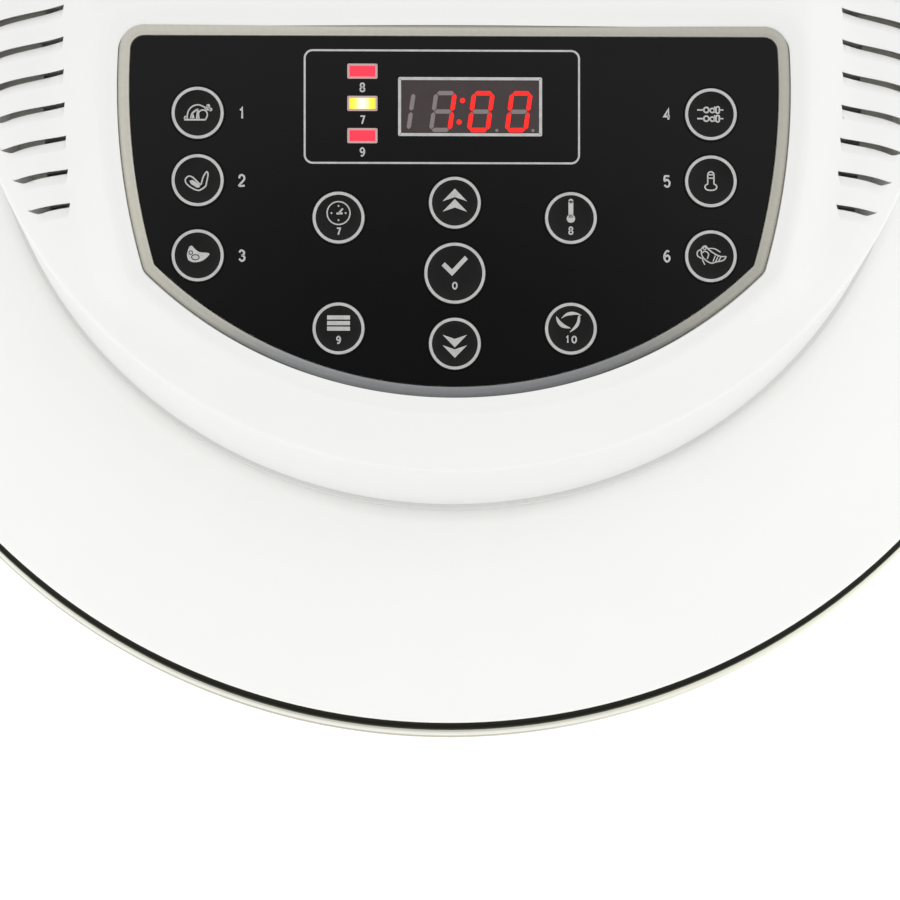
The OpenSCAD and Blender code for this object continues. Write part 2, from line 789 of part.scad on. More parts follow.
module hinge_post() {
    color("white") in_bowl() difference() {
        union() {
            translate([0, hinge_y, block_top]) block([post_w, post_l, post_top - block_top], post_corner);
            for (s = [-1, 1]) translate([s*(post_w/2 - knuckle_w/2), hinge_y, 0]) {
                translate([-knuckle_w/2, -barrel_r, post_top - knuckle_root])
                    cube([knuckle_w, 2*barrel_r, rim_z + hinge_z - post_top + knuckle_root]);
                translate([-knuckle_w/2, 0, rim_z + hinge_z]) rotate([0, 90, 0])
                    cylinder(r = barrel_r, h = knuckle_w);
            }
        }
        // Hollow post, open at the bottom
        translate([0, hinge_y, block_top - e])
            block([post_w - 2*(base_wall + post_side), post_l - 2*base_wall,
                post_top - block_top - post_roof], post_hollow_r);
        for (p = POST_SCREWS) translate([p[0], p[1], block_top - e])
            cylinder(r = lid_screw_r + fit, h = post_grip + screw_room);
        translate([-post_w/2 - e, hinge_y, rim_z + hinge_z]) rotate([0, 90, 0])
            cylinder(r = pin_r, h = post_w + 2*e);
    }
}
module cord_gland() {
    color("dimgray") in_bowl() translate([0, block_back, gland_z]) rotate([-90, 0, 0]) difference() {
        union() {
            translate([0, 0, -base_wall - gland_t]) cylinder(r = gland_r + gland_lip, h = gland_t);
            translate([0, 0, -base_wall]) cylinder(r = gland_r, h = base_wall);
        }
        translate([0, 0, -base_wall - gland_t - e]) cylinder(r = cord_r, h = base_wall + gland_t + 2*e);
    }
}
module hinge_pin() {
    color("silver") in_bowl() translate([-post_w/2, hinge_y, rim_z + hinge_z]) rotate([0, 90, 0])
        cylinder(r = pin_r, h = post_w);
}
// Side view of the arm: out through the back of the head, over the glass, down to the hinge.
module arm_side() {
    root = foot_r - 6;
    out = foot_r + 9;
    polygon([[root, shell_z + 3], [out, shell_z + 3], [lid_r - 18, hinge_z + 9],
        [hinge_y - barrel_r - 4, hinge_z - 5], [hinge_y, hinge_z - 5], [hinge_y, hinge_z + barrel_r],
        [lid_r - 8, hinge_z + barrel_r + 7], [out, arm_top - 2], [root, arm_top]]);
}
module hinge_arm() {
    color("white") in_lid() difference() {
        union() {
            translate([-arm_w/2, 0, 0]) rotate([90, 0, 90]) linear_extrude(arm_w) arm_side();
            translate([-arm_w/2, hinge_y, hinge_z]) rotate([0, 90, 0]) cylinder(r = barrel_r, h = arm_w);
            // Foot inside the head
            translate([-arm_w/2, arm_root, floor_z]) cube([arm_w, arm_in - 5, arm_foot_t]);
            translate([-arm_w/2, foot_r - 5 - arm_wall, floor_z]) cube([arm_w, arm_wall, arm_top - floor_z]);
        }
        translate([-arm_w/2 - e, hinge_y, hinge_z]) rotate([0, 90, 0])
            cylinder(r = pin_r + run, h = arm_w + 2*e);
        for (p = ARM_SCREWS) translate([p[0], p[1], floor_z - e])
            cylinder(r = screw_r + fit, h = arm_foot_t + 2*e);
    }
}
module arm_screws() {
    color("silver") in_lid() for (p = ARM_SCREWS) translate([p[0], p[1], floor_z + arm_foot_t])
        mirror([0, 0, 1]) screw(screw_r, screw_head_r, screw_head_t, arm_foot_t + floor_t);
}

// Lid and head

module lid_glass() {
    color("ivory") in_lid() rotate_extrude() polygon(concat(
        [[neck_r, lid_rise - glass_t], [neck_r, lid_rise]],
        [for (i = [12:-1:1]) lid_face(0, 12)[i]],
        arc([lid_r - glass_t/2 + edge_flat, -glass_t/2], glass_t/2 - edge_flat, 70, -70, 6),
        [[lid_r - rim_bevel, lid_low], [lid_r - rim_flat, lid_low]],
        [for (i = [3:12]) lid_face(0, 12)[i] - [0, glass_t]]));
}
module head_gasket() {
    color("gray") in_lid() translate([0, 0, lid_rise]) tube(head_r - gasket_in, neck_r + gasket_out, gasket_t);
}
module head_base() {
    color("white") in_lid() difference() {
        union() {
            translate([0, 0, gasket_z]) cylinder(r = foot_r - skin - floor_gap, h = floor_t);
            translate([0, 0, gasket_z]) cylinder(r = foot_r + lip_out, h = lip_t);
            translate([0, 0, floor_z - e])
                tube(head_r - skin - rib_gap, head_r - skin - rib_gap - rib_t, rib_h);
            for (p = MOTOR_POSTS) translate([p[0], p[1], floor_z - e])
                cylinder(r = motor_post_r, h = motor_post_h + e);
            for (p = POWER_POSTS) translate([p[0], p[1], floor_z - e])
                cylinder(r = power_post_r, h = power_up + e);
        }
        translate([0, 0, gasket_z - e]) cylinder(r = wire_hole_r, h = floor_t + 2*e);
        for (p = LID_SCREWS) translate([p[0], p[1], gasket_z - e])
            cylinder(r = lid_screw_r + fit, h = floor_t + 2*e);
        for (p = ARM_SCREWS) translate([p[0], p[1], gasket_z - e])
            cylinder(r = screw_r + fit, h = floor_t + 2*e);
        // The probe's way down, and the arm's way out
        translate([probe_x, probe_y, gasket_z - e]) cylinder(r = probe_r + probe_room, h = floor_t + 2*e);
        translate([-arm_w/2 - arm_gap, head_r - skin - arm_slot, floor_z])
            cube([arm_w + 2*arm_gap, 2*arm_slot, arm_slot]);
    }
}
module head_solid(t, low) {
    rotate_extrude() polygon(concat([[0, low]], head_section(t, low)));
}
module console(t) {
    hull() {
        slab(crest_d - t, crest_up - t - e, e, console_top, console_spread);
        slab(crest_d + console_drop + crest_up - t, -console_drop - t, e,
            console_top + console_back, console_spread + console_back);
    }
}
module vents() {
    h = crown_z - vent_low;
    intersection() {
        for (side = [-1, 1]) for (k = [0:vent_count - 1])
            translate([side*vent_x, -vent_front + k*vent_pitch, vent_low]) rotate([0, 0, -side*vent_slant])
                translate([side > 0 ? 0 : -vent_in, -vent_w/2, 0]) cube([vent_in, vent_w, h]);
        translate([0, 0, vent_low]) cylinder(r = head_r - vent_margin, h = h);
    }
}
module head_shell() {
    color("white") in_lid() difference() {
        union() {
            difference() {
                union() {
                    head_solid(0, shell_z);
                    at_panel() console(0);
                }
                head_solid(skin, shell_z - e);
                at_panel() console(skin);
                translate([0, 0, shell_z - over]) cylinder(r = head_r, h = over);
            }
            at_panel() slab(crest_d - 1, -panel_t - ledge_t, panel_t + ledge_t + bezel_up);
            for (p = LID_SCREWS) translate([p[0], p[1], floor_z])
                cylinder(r = lid_post_r, h = head_height(norm(p)) - floor_z - skin/2);
            for (s = [-1, 1]) ear(s);
        }
        // Room for the bezel and the panel, the slope up to the crest, and the way through
        at_panel() {
            slab(bezel_w + seat_gap, -panel_t, over);
            hull() {
                slab(bezel_w + seat_gap, 0, e);
                slab(crest_d - crest_flat, crest_up, over);
            }
            slab(-ledge_w, -panel_t - ledge_t - 1, over);
            for (p = BUTTONS) translate([p[0], p[1], -panel_t - ledge_t - 1])
                cylinder(r = button_radius(p) + cap_flange_w + flange_room, h = ledge_t + 1);
        }
        vents();
        for (p = LID_SCREWS) translate([p[0], p[1], floor_z - e])
            cylinder(r = lid_screw_r + fit, h = lid_screw_grip + screw_room);
        // The arm's way out at the back
        translate([-arm_w/2 - arm_gap, head_r - over, shell_z - e])
            cube([arm_w + 2*arm_gap, 2*over, arm_up + 1]);
        // The plunger's hole
        translate([bail_span/2, bail_y + tip_y, safety_top]) cylinder(r = tip_r + tip_room, h = over);
        for (s = [-1, 1]) translate([s*(ear_x + ear_w/2), bail_y, bail_z]) rotate([0, 90, 0])
            cylinder(r = bail_pin_r, h = ear_w + 2*e, center = true);
    }
}
// Height of the crown at radius r.
function head_height(r) = crown_z - crown_curve + sqrt(crown_curve*crown_curve - r*r);
module ear(s) {
    foot = head_height(norm([ear_x + ear_w, bail_y + ear_l/2])) - 1;
    translate([s*(ear_x + ear_w/2), bail_y, 0]) {
        translate([-ear_w/2, -ear_l/2, foot]) cube([ear_w, ear_l, bail_z - foot]);
        translate([0, 0, bail_z]) rotate([0, 90, 0]) cylinder(r = bail_hub_r, h = ear_w, center = true);
    }
}

// Control panel

module panel_bezel() {
    color("silver") on_panel() difference() {
        slab(bezel_w, -panel_t, panel_t + bezel_up);
        slab(0, -panel_t - e, panel_t + bezel_up + 2*e);
    }
}
module window_hole(w, h, gap) {
    translate([-w/2 - gap, -h/2 - gap, -panel_t - e]) cube([w + 2*gap, h + 2*gap, panel_t + 2*e]);
}
module at_lamps() {
    for (i = [-1:1]) translate([lamp_u, lamp_v + i*lamp_pitch, 0]) children();
}
module control_panel() {
    color("black") on_panel() difference() {
        union() {
            slab(-seat_gap, -panel_t, panel_t);
            for (p = BOARD_POSTS) translate([p[0], p[1], -board_drop])
                cylinder(r = boss_r, h = board_drop - panel_t + e);
        }
        for (p = BUTTONS) translate([p[0], p[1], -panel_t - e])
            cylinder(r = button_radius(p) + button_gap, h = panel_t + 2*e);
        translate([window_u, window_v, 0]) window_hole(window_w, window_h, seat_gap);
        at_lamps() window_hole(lamp_w, lamp_h, seat_gap);
        for (p = BOARD_POSTS) translate([p[0], p[1], -board_drop - e])
            cylinder(r = screw_r + fit, h = board_drop - panel_t);
    }
}
module display_window() {
    color("darkred", 0.6) on_panel() translate([window_u - window_w/2, window_v - window_h/2, -panel_t])
        cube([window_w, window_h, panel_t - window_drop]);
}
module display_module() {
    color("dimgray") on_panel()
        translate([window_u - window_w/2 + module_gap, window_v - window_h/2 + module_gap, -board_drop])
        cube([window_w - 2*module_gap, window_h - 2*module_gap, board_drop - panel_t - lens_gap]);
}
module indicator_lenses() {
    color("tomato") on_panel() at_lamps() translate([-lamp_w/2, -lamp_h/2, -board_drop + lens_gap])
        cube([lamp_w, lamp_h, board_drop - lens_gap - window_drop]);
}
module control_board() {
    color("darkgreen") on_panel() difference() {
        slab(-board_inset, -board_drop - board_t, board_t);
        for (p = BOARD_POSTS) translate([p[0], p[1], -board_drop - board_t - e])
            cylinder(r = screw_r + fit, h = board_t + 2*e);
    }
}
module tactile_switches() {
    color("dimgray") on_panel() for (p = BUTTONS) translate([p[0], p[1], -board_drop]) {
        translate([-switch_w/2, -switch_w/2, 0]) cube([switch_w, switch_w, switch_body]);
        cylinder(r = switch_tip_r, h = switch_body + switch_tip);
    }
}
module board_screws() {
    color("silver") on_panel() for (p = BOARD_POSTS) translate([p[0], p[1], -board_drop - board_t])
        screw(screw_r, screw_head_r, screw_head_t, board_t + board_grip);
}
module button(p) {
    r = button_radius(p);
    color("black") on_panel() translate([p[0], p[1], 0]) {
        translate([0, 0, -button_low]) cylinder(r = r, h = button_low + button_up);
        translate([0, 0, -button_low]) cylinder(r = r + cap_flange_w, h = cap_flange_t);
        translate([0, 0, -stem_low]) cylinder(r = stem_r, h = stem_low - button_low + e);
    }
}

// Heater box

module reflector() {
    color("silver") in_lid() difference() {
        union() {
            translate([0, 0, plate_low]) cylinder(r = flange_out, h = sheet_t);
            translate([0, 0, skirt_low]) tube(reflector_r + sheet_t, reflector_r, reflector_h);
            translate([0, 0, skirt_low]) tube(reflector_r + e, lip_in, sheet_t);
        }
        translate([0, 0, plate_low - e]) cylinder(r = shaft_hole_r, h = sheet_t + 2*e);
        for (p = LID_SCREWS) translate([p[0], p[1], plate_low - e])
            cylinder(r = lid_screw_r + fit, h = sheet_t + 2*e);
        translate([probe_x, probe_y, plate_low - e]) cylinder(r = probe_r + probe_gap, h = sheet_t + 2*e);
        for (a = GUARD_SCREWS) rotate(a) translate([guard_screw_r, 0, skirt_low - e])
            cylinder(r = screw_r + fit, h = sheet_t + 2*e);
    }
}
module insulation_disc() {
    color("beige") in_lid() difference() {
        translate([0, 0, felt_z]) cylinder(r = neck_r - felt_gap, h = felt_t);
        translate([0, 0, felt_z - e]) cylinder(r = felt_hole_r, h = felt_t + 2*e);
        for (p = LID_SCREWS) translate([p[0], p[1], felt_z - e])
            cylinder(r = lid_screw_r + fit, h = felt_t + 2*e);
        translate([probe_x, probe_y, felt_z - e]) cylinder(r = probe_r + probe_gap, h = felt_t + 2*e);
    }
}
module lid_screws() {
    color("silver") in_lid() for (p = LID_SCREWS) translate([p[0], p[1], plate_low])
        screw(lid_screw_r, lid_screw_head_r, lid_screw_head_t, lid_screw_top - plate_low);
}
module halogen_tube() {
    color("lavender", 0.6) in_lid() translate([0, 0, tube_z])
        rotate(-90 + tube_gap_a) rotate_extrude(angle = 360 - 2*tube_gap_a)
            translate([tube_ring_r, 0]) circle(r = tube_r, $fn = 32);
}
module lamp_clips() {
    color("silver") in_lid() for (a = [30, 150]) rotate(a) translate([tube_ring_r, 0, tube_z]) {
        out = tube_r + clip_gap;
        rotate([90, 0, 0]) translate([0, 0, -clip_w/2]) difference() {
            cylinder(r = tube_r + clip_t, h = clip_w);
            translate([0, 0, -e]) cylinder(r = out, h = clip_w + 2*e);
            translate([-clip_mouth/2, -2*tube_r, -e]) cube([clip_mouth, 2*tube_r, clip_w + 2*e]);
        }
        translate([-clip_post_w/2, -clip_w/2, out + clip_gap])
            cube([clip_post_w, clip_w, tube_drop - out - clip_gap]);
    }
}
module lamp_holders() {
    color("linen") in_lid() for (s = [-1, 1]) rotate(-90 + s*(tube_gap_a - holder_a)) difference() {
        translate([tube_ring_r - holder_w/2, -holder_w/2, tube_z - holder_w/2])
            cube([holder_w, holder_w, plate_low - tube_z + holder_w/2]);
        translate([0, 0, tube_z]) rotate_extrude() translate([tube_ring_r, 0])
            circle(r = tube_r + holder_fit, $fn = 32);
    }
}
module fan_guard() {
    color("silver") in_lid() translate([0, 0, skirt_low - guard_t]) difference() {
        linear_extrude(guard_t) difference() {
            circle(r = reflector_r);
            for (ring = GUARD_SLOTS) for (k = [1:ring[2]]) rotate(k*360/ring[2])
                translate([ring[0], -guard_slot_w/2]) square([ring[1] - ring[0], guard_slot_w]);
        }
        for (a = GUARD_SCREWS) rotate(a) translate([guard_screw_r, 0, -e])
            cylinder(r = screw_r + fit, h = guard_t + 2*e);
    }
}
module guard_screws() {
    color("silver") in_lid() for (a = GUARD_SCREWS) rotate(a)
        translate([guard_screw_r, 0, skirt_low - guard_t])
            screw(screw_r, screw_head_r, screw_head_t, guard_grip);
}
module temperature_probe() {
    low = plate_low - probe_reach;
    color("silver") in_lid() translate([probe_x, probe_y, 0]) {
        translate([0, 0, low]) cylinder(r = probe_r, h = floor_z + probe_up - low);
        translate([0, 0, floor_z]) cylinder(r = probe_cap_r, h = probe_cap_t);
    }
}

// Motor and fans

module bearing_brackets() {
    color("silver") in_lid() {
        for (z = [low_bracket_z, high_bracket_z]) translate([0, 0, z]) difference() {
            union() {
                translate([-stator_half, -bracket_w/2, 0]) cube([2*stator_half, bracket_w, bracket_t]);
                translate([0, 0, -bush_up]) cylinder(r = bush_r, h = bracket_t + 2*bush_up);
            }
            translate([0, 0, -bush_up - e]) cylinder(r = shaft_r + run, h = bracket_t + 2*bush_up + 2*e);
        }
        // Posts through the corners of the core
        for (s = [-1, 1]) translate([s*tie_x, 0, low_bracket_z + bracket_t])
            cylinder(r = tie_r, h = high_bracket_z - low_bracket_z - bracket_t);
    }
}
module motor_stator() {
    color("dimgray") in_lid() translate([0, 0, stator_z]) difference() {
        linear_extrude(stator_h) difference() {
            translate([-stator_half, -stator_front])
                square([2*stator_half, stator_front + bar_y + bar_w]);
            circle(r = rotor_r + air_gap);
            translate([-coil_w/2 - coil_wall, bar_y - bar_w]) square([coil_w + 2*coil_wall, bar_w]);
            for (s = [-1, 1]) translate([s*tie_x, 0]) circle(r = tie_r + fit, $fn = 24);
        }
    }
}
module motor_coil() {
    color("peru") in_lid() difference() {
        translate([-coil_w/2, bar_y - coil_wall, stator_z - coil_wall])
            cube([coil_w, bar_w + 2*coil_wall, stator_h + 2*coil_wall]);
        translate([-coil_w/2 - e, bar_y - fit, stator_z - fit])
            cube([coil_w + 2*e, bar_w + 2*fit, stator_h + 2*fit]);
    }
}
module rotor_shaft() {
    color("silver") in_lid() {
        low = hot_fan_top - hot_fan_h - nut_h - shaft_out;
        translate([0, 0, low]) cylinder(r = shaft_r, h = cool_z + cool_h + shaft_up - low);
        translate([0, 0, stator_z - rotor_up]) cylinder(r = rotor_r, h = stator_h + 2*rotor_up);
    }
}
module fan(hub, r, h, blades, pitch) {
    difference() {
        union() {
            cylinder(r = hub, h = h);
            for (k = [1:blades]) rotate(k*360/blades) translate([hub - blade_root, 0, h/2])
                rotate([pitch, 0, 0]) translate([0, -blade_t/2, -h*0.42])
                    cube([r - hub + blade_root - blade_in, blade_t, h*0.84]);
        }
        translate([0, 0, -e]) cylinder(r = shaft_r, h = h + 2*e);
    }
}
module cooling_fan() {
    color("lightgray") in_lid() translate([0, 0, cool_z])
        fan(cool_hub_r, cool_fan_r, cool_h, cool_blades, cool_pitch);
}
module convection_fan() {
    color("silver") in_lid() translate([0, 0, hot_fan_top - hot_fan_h]) {
        fan(hub_r, hot_fan_r, hot_fan_h, hot_blades, 0);
        translate([0, 0, hot_fan_h - sheet_t]) tube(hot_fan_r - plate_w, hub_r - 1, sheet_t);
    }
}
module fan_nut() {
    color("silver") in_lid() translate([0, 0, hot_fan_top - hot_fan_h - nut_h]) difference() {
        union() {
            cylinder(r = nut_r, h = nut_h - washer_t, $fn = 6);
            translate([0, 0, nut_h - washer_t]) cylinder(r = washer_r, h = washer_t);
        }
        translate([0, 0, -e]) cylinder(r = shaft_r, h = nut_h + 2*e);
    }
}
module power_board() {
    color("darkgreen") in_lid() translate([-power_w/2, power_y - power_l/2, power_z])
        cube([power_w, power_l, board_t]);
}
module power_components() {
    z = power_z + board_t;
    color("darkslategray") in_lid() translate([0, power_y, z]) {
        translate([-38, -10, 0]) cube([19, 15, 16]);
        translate([-14, -12, 0]) cube([28, 24, 18]);
        translate([24, -4, 0]) cylinder(r = 5, h = 18);
        translate([33, 4, 0]) cylinder(r = 4, h = 12);
        translate([18, 3, 0]) cube([10, 8, 10]);
    }
}

// Carrying handle and its safety switch

module safety_switch() {
    color("dimgray") in_lid() translate([bail_span/2, bail_y + tip_y, 0]) difference() {
        union() {
            translate([-safety_foot_w/2, -safety_foot_l/2, floor_z])
                cube([safety_foot_w, safety_foot_l, safety_foot_t]);
            translate([-safety_stem_w/2, -safety_stem_l/2, floor_z])
                cube([safety_stem_w, safety_stem_l, safety_top - safety_body - floor_z]);
            translate([-safety_w/2, -safety_l/2, safety_top - safety_body])
                cube([safety_w, safety_l, safety_body]);
        }
        translate([0, 0, safety_top - safety_hole]) cylinder(r = tip_r + run, h = safety_hole + e);
    }
}
// Height of the folded handle's underside, y behind its pivots.
function bail_low(y) = bail_z - y*sin(bail_slope) - bail_t/2;
module switch_plunger() {
    low = safety_top - tip_in;
    color("white") in_lid() translate([bail_span/2, bail_y + tip_y, low])
        cylinder(r = tip_r, h = bail_low(tip_y) - tip_gap - low);
}
module handle_pins() {
    color("silver") in_lid() for (s = [-1, 1]) translate([s*bail_span/2, bail_y, bail_z])
        rotate([0, s*90, 0]) translate([0, 0, -hub_w/2 - pin_play]) {
            cylinder(r = bail_pin_r, h = hub_w + pin_play + ear_gap + ear_w);
            translate([0, 0, -pin_head_t]) cylinder(r = bail_pin_r + pin_head, h = pin_head_t);
        }
}
// Outer outline of the handle seen from above, drawn in by inset.
module bail_outline(inset) {
    x = bail_span/2 + bail_w/2 - bail_corner;
    y = bail_reach + bail_w/2 - bail_corner;
    r = bail_corner - inset;
    low = inset > 0 ? -e : 0;
    polygon(concat([[x + r, low]], arc([x, y], r, 0, 90, 10), arc([-x, y], r, 90, 180, 10),
        [[-x - r, low]]));
}
module carry_handle() {
    color("white") in_lid() translate([0, bail_y, bail_z]) rotate([-bail_slope, 0, 0]) difference() {
        union() {
            translate([0, 0, -bail_t/2]) linear_extrude(bail_t) difference() {
                bail_outline(0);
                bail_outline(bail_w);
            }
            for (s = [-1, 1]) translate([s*bail_span/2, 0, 0]) rotate([0, 90, 0])
                cylinder(r = bail_hub_r, h = hub_w, center = true);
        }
        for (s = [-1, 1]) translate([s*bail_span/2, 0, 0]) rotate([0, 90, 0])
            cylinder(r = bail_pin_r + run, h = hub_w + 2*e, center = true);
    }
}

base_shell();
bottom_cover();
rubber_feet();
base_screws();
side_handles();
bowl_pads();
glass_bowl();
wire_rack();
hinge_post();
cord_gland();
hinge_pin();
lid_glass();
head_gasket();
head_base();
head_shell();
hinge_arm();
arm_screws();
reflector();
insulation_disc();
lid_screws();
halogen_tube();
lamp_clips();
lamp_holders();
fan_guard();
guard_screws();
temperature_probe();
bearing_brackets();
motor_stator();
motor_coil();
power_board();
power_components();
panel_bezel();
control_panel();
display_window();
display_module();
indicator_lenses();
control_board();
tactile_switches();
board_screws();
safety_switch();
handle_pins();
rotor_shaft();
cooling_fan();
convection_fan();
fan_nut();
carry_handle();
switch_plunger();
button(PRESETS[0]);  // preset_button_1
button(PRESETS[1]);  // preset_button_2
button(PRESETS[2]);  // preset_button_3
button(PRESETS[3]);  // preset_button_4
button(PRESETS[4]);  // preset_button_5
button(PRESETS[5]);  // preset_button_6
button(TIME);  // time_button
button(TEMP);  // temperature_button
button(DELAY);  // delay_button
button(REHEAT);  // reheat_button
button(UP);  // up_button
button(DOWN);  // down_button
button(CONFIRM);  // confirm_button
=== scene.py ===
"""Looks of the halogen oven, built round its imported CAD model.

Shapes are written in millimetres. "Lid frame" heights and places are counted from the middle
of the lid's rim; u, v and w run sideways, up the slope and out of the control panel.
"""
import json
import math

import bmesh
import bpy
import numpy as np
from mathutils import Matrix, Vector


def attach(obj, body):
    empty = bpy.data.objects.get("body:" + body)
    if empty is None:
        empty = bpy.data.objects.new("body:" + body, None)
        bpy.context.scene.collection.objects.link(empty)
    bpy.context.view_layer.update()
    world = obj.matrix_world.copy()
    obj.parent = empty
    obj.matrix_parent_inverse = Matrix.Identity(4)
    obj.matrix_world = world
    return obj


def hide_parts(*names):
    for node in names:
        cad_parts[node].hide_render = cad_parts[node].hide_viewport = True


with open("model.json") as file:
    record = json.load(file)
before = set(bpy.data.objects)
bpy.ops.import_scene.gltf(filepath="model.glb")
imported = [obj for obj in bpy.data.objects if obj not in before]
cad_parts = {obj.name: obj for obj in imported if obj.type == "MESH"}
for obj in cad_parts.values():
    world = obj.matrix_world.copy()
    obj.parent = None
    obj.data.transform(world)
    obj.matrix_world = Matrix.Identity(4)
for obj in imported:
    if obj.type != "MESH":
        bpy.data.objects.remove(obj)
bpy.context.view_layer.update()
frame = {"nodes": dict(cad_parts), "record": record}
MM = 0.001
RIM = np.array([0.0, -19.75, 204.0])       # middle of the lid's rim, in the row frame
PANEL = np.array([0.0, -61.2, 73.7])       # middle of the panel, in the lid frame
TILT = math.radians(11)
U_AXIS = np.array([1.0, 0.0, 0.0])
V_AXIS = np.array([0.0, math.cos(TILT), math.sin(TILT)])
W_AXIS = np.array([0.0, -math.sin(TILT), math.cos(TILT)])
LAMP_U = -20.2     # middle of the three indicator lamps


# Materials

def fit(tree, node, links=(), values=()):
    """Sets values of a node's inputs and links sources to others, each by the input's name or number."""
    for name, value in dict(values).items():
        node.inputs[name].default_value = value
    for name, source in dict(links).items():
        tree.links.new(source, node.inputs[name])
    return node


def add(tree, kind, links=(), values=(), **settings):
    """A new shader node."""
    node = tree.nodes.new("ShaderNode" + kind)
    for name, value in settings.items():
        setattr(node, name, value)
    return fit(tree, node, links, values)


def new_material(name):
    material = bpy.data.materials.new(name)
    material.use_nodes = True
    tree = material.node_tree
    return material, tree, tree.nodes["Principled BSDF"]


def noise_over(tree, coords, scale, detail=2.0):
    return add(tree, "TexNoise", {"Vector": coords}, {"Scale": scale, "Detail": detail}).outputs["Fac"]


def ramp_over(tree, value, stops):
    """Colour from a value through stops of (value, colour)."""
    low, high = stops[0][0], stops[-1][0]
    share = add(tree, "MapRange", {"Value": value}, {"From Min": low, "From Max": high})
    ramp = add(tree, "ValToRGB", {"Fac": share.outputs["Result"]})
    while len(ramp.color_ramp.elements) < len(stops):
        ramp.color_ramp.elements.new(0.5)
    for element, (at, colour) in zip(ramp.color_ramp.elements, stops):
        element.position = (at - low)/(high - low)
        element.color = list(colour) + [1]
    return ramp.outputs["Color"]


def srgb(*values):
    return [((v/255 + 0.055)/1.055)**2.4 if v > 10 else v/255/12.92 for v in values]


def greys(*stops):
    return [(at, [level]*3) for at, level in stops]


def tints(stops, unit=1):
    return [(at*unit, srgb(*tint)) for at, tint in stops]


def object_coords(tree):
    """Places on the object, in metres, whole and as X, Y and Z."""
    coords = add(tree, "TexCoord").outputs["Object"]
    return coords, add(tree, "SeparateXYZ", {0: coords}).outputs


def tone(tree, colour, spread, scale):
    """A colour that wanders a little about its mean, for the base colour."""
    coords = add(tree, "TexCoord").outputs["Object"]
    ramp = add(tree, "ValToRGB", {"Fac": noise_over(tree, coords, scale, 3.0)})
    for element, at, share in zip(ramp.color_ramp.elements, (0.3, 0.7), (1 - spread, 1 + spread)):
        element.position = at
        element.color = [min(c*share, 1) for c in colour] + [1]
    return ramp.outputs["Color"], coords


def bump(tree, shader, coords, scale, strength, distance=0.0002, stretch=None):
    if stretch:
        coords = add(tree, "Mapping", {"Vector": coords}, {"Scale": stretch}).outputs["Vector"]
    grain = add(tree, "Bump", {"Height": noise_over(tree, coords, scale)},
                {"Strength": strength, "Distance": distance})
    fit(tree, shader, {"Normal": grain.outputs["Normal"]})


def surface(name, colour, rough, metal=0.0, spread=0.01, scale=60.0, specular=0.5,
            coat=0.0, grain=(900.0, 0.05), stretch=None):
    """A finish of one colour, given from 0 to 255; grain is its bump's (scale, strength)."""
    material, tree, shader = new_material(name)
    base, coords = tone(tree, srgb(*colour), spread, scale)
    fit(tree, shader, {"Base Color": base}, {
        "Roughness": rough, "Metallic": metal, "Specular IOR Level": specular, "Coat Weight": coat,
        "Coat Roughness": 0.06})
    bump(tree, shader, coords, *grain, stretch=stretch)
    return material


def light_up(tree, shader, colour, strength):
    fit(tree, shader, {"Base Color": colour, "Emission Color": colour},
        {"Emission Strength": strength, "Roughness": 0.3})


def glow(name, colour, strength):
    material, tree, shader = new_material(name)
    light_up(tree, shader, tone(tree, srgb(*colour), 0.03, 400)[0], strength)
    return material


def yellow_lens():
    """The lit lamp, brightest at its middle; stops are (mm from there, colour)."""
    material, tree, shader = new_material("lens_yellow")
    away = object_coords(tree)[1]["X"]
    for operation, amount in (("SUBTRACT", LAMP_U*MM), ("ABSOLUTE", 0.0)):
        away = add(tree, "Math", {0: away}, {1: amount}, operation=operation).outputs[0]
    stops = ((0.0, (255, 252, 214)), (0.8, (255, 246, 176)), (1.7, (255, 226, 70)), (2.9, (250, 196, 48)))
    light_up(tree, shader, ramp_over(tree, away, tints(stops, MM)), 0.62)
    return material


def clear_glass():
    material, tree, shader = new_material("clear_glass")
    base, coords = tone(tree, (0.955, 0.975, 0.968), 0.01, 12)
    fit(tree, shader, {"Base Color": base}, {"Roughness": 0.02, "IOR": 1.5, "Transmission Weight": 1.0})
    bump(tree, shader, coords, 40.0, 0.02, distance=0.0004)
    return material


def bowl_edge_tint_and_painted_light():
    """The bowl's bead, in rings round its axis: stops are (radius in mm, colour). The rings are the glass's
    olive tint with painted highlights and a painted dark refraction line, and the bead pales to the right
    and a little at the far left, which is painted light.
    """
    material, tree, shader = new_material("bowl_edge_tint_and_painted_light")
    coords, parts = object_coords(tree)
    flat = add(tree, "VectorMath", {0: coords}, {1: (1, 1, 0), 2: (0, -RIM[1]*MM, 0)},
               operation="MULTIPLY_ADD")
    length = add(tree, "VectorMath", {0: flat.outputs["Vector"]}, operation="LENGTH")
    # Painted highlights at 165.5 and 166.0 mm and a painted dark refraction line at 166.25 mm, over the
    # glass's olive tint
    stops = ((164.4, (206, 204, 186)), (165.2, (214, 213, 196)), (165.5, (246, 246, 240)),
             (166.0, (244, 244, 236)), (166.25, (158, 154, 130)), (166.5, (190, 188, 166)))
    rings = ramp_over(tree, length.outputs["Value"], tints(stops, MM))
    # Painted light: the bead pales towards the right, and a little at the far left
    fade = ramp_over(tree, parts["X"], greys((-0.15, 0.25), (-0.05, 0.0), (0.02, 0.15), (0.09, 1.0)))
    mix = add(tree, "Mix", {"Factor": fade, "A": rings}, {"B": srgb(244, 244, 226) + [1]},
              data_type="RGBA")
    fit(tree, shader, {"Base Color": mix.outputs["Result"]}, {"Roughness": 0.2, "Specular IOR Level": 0.3})
    bump(tree, shader, coords, 700, 0.03)
    return material


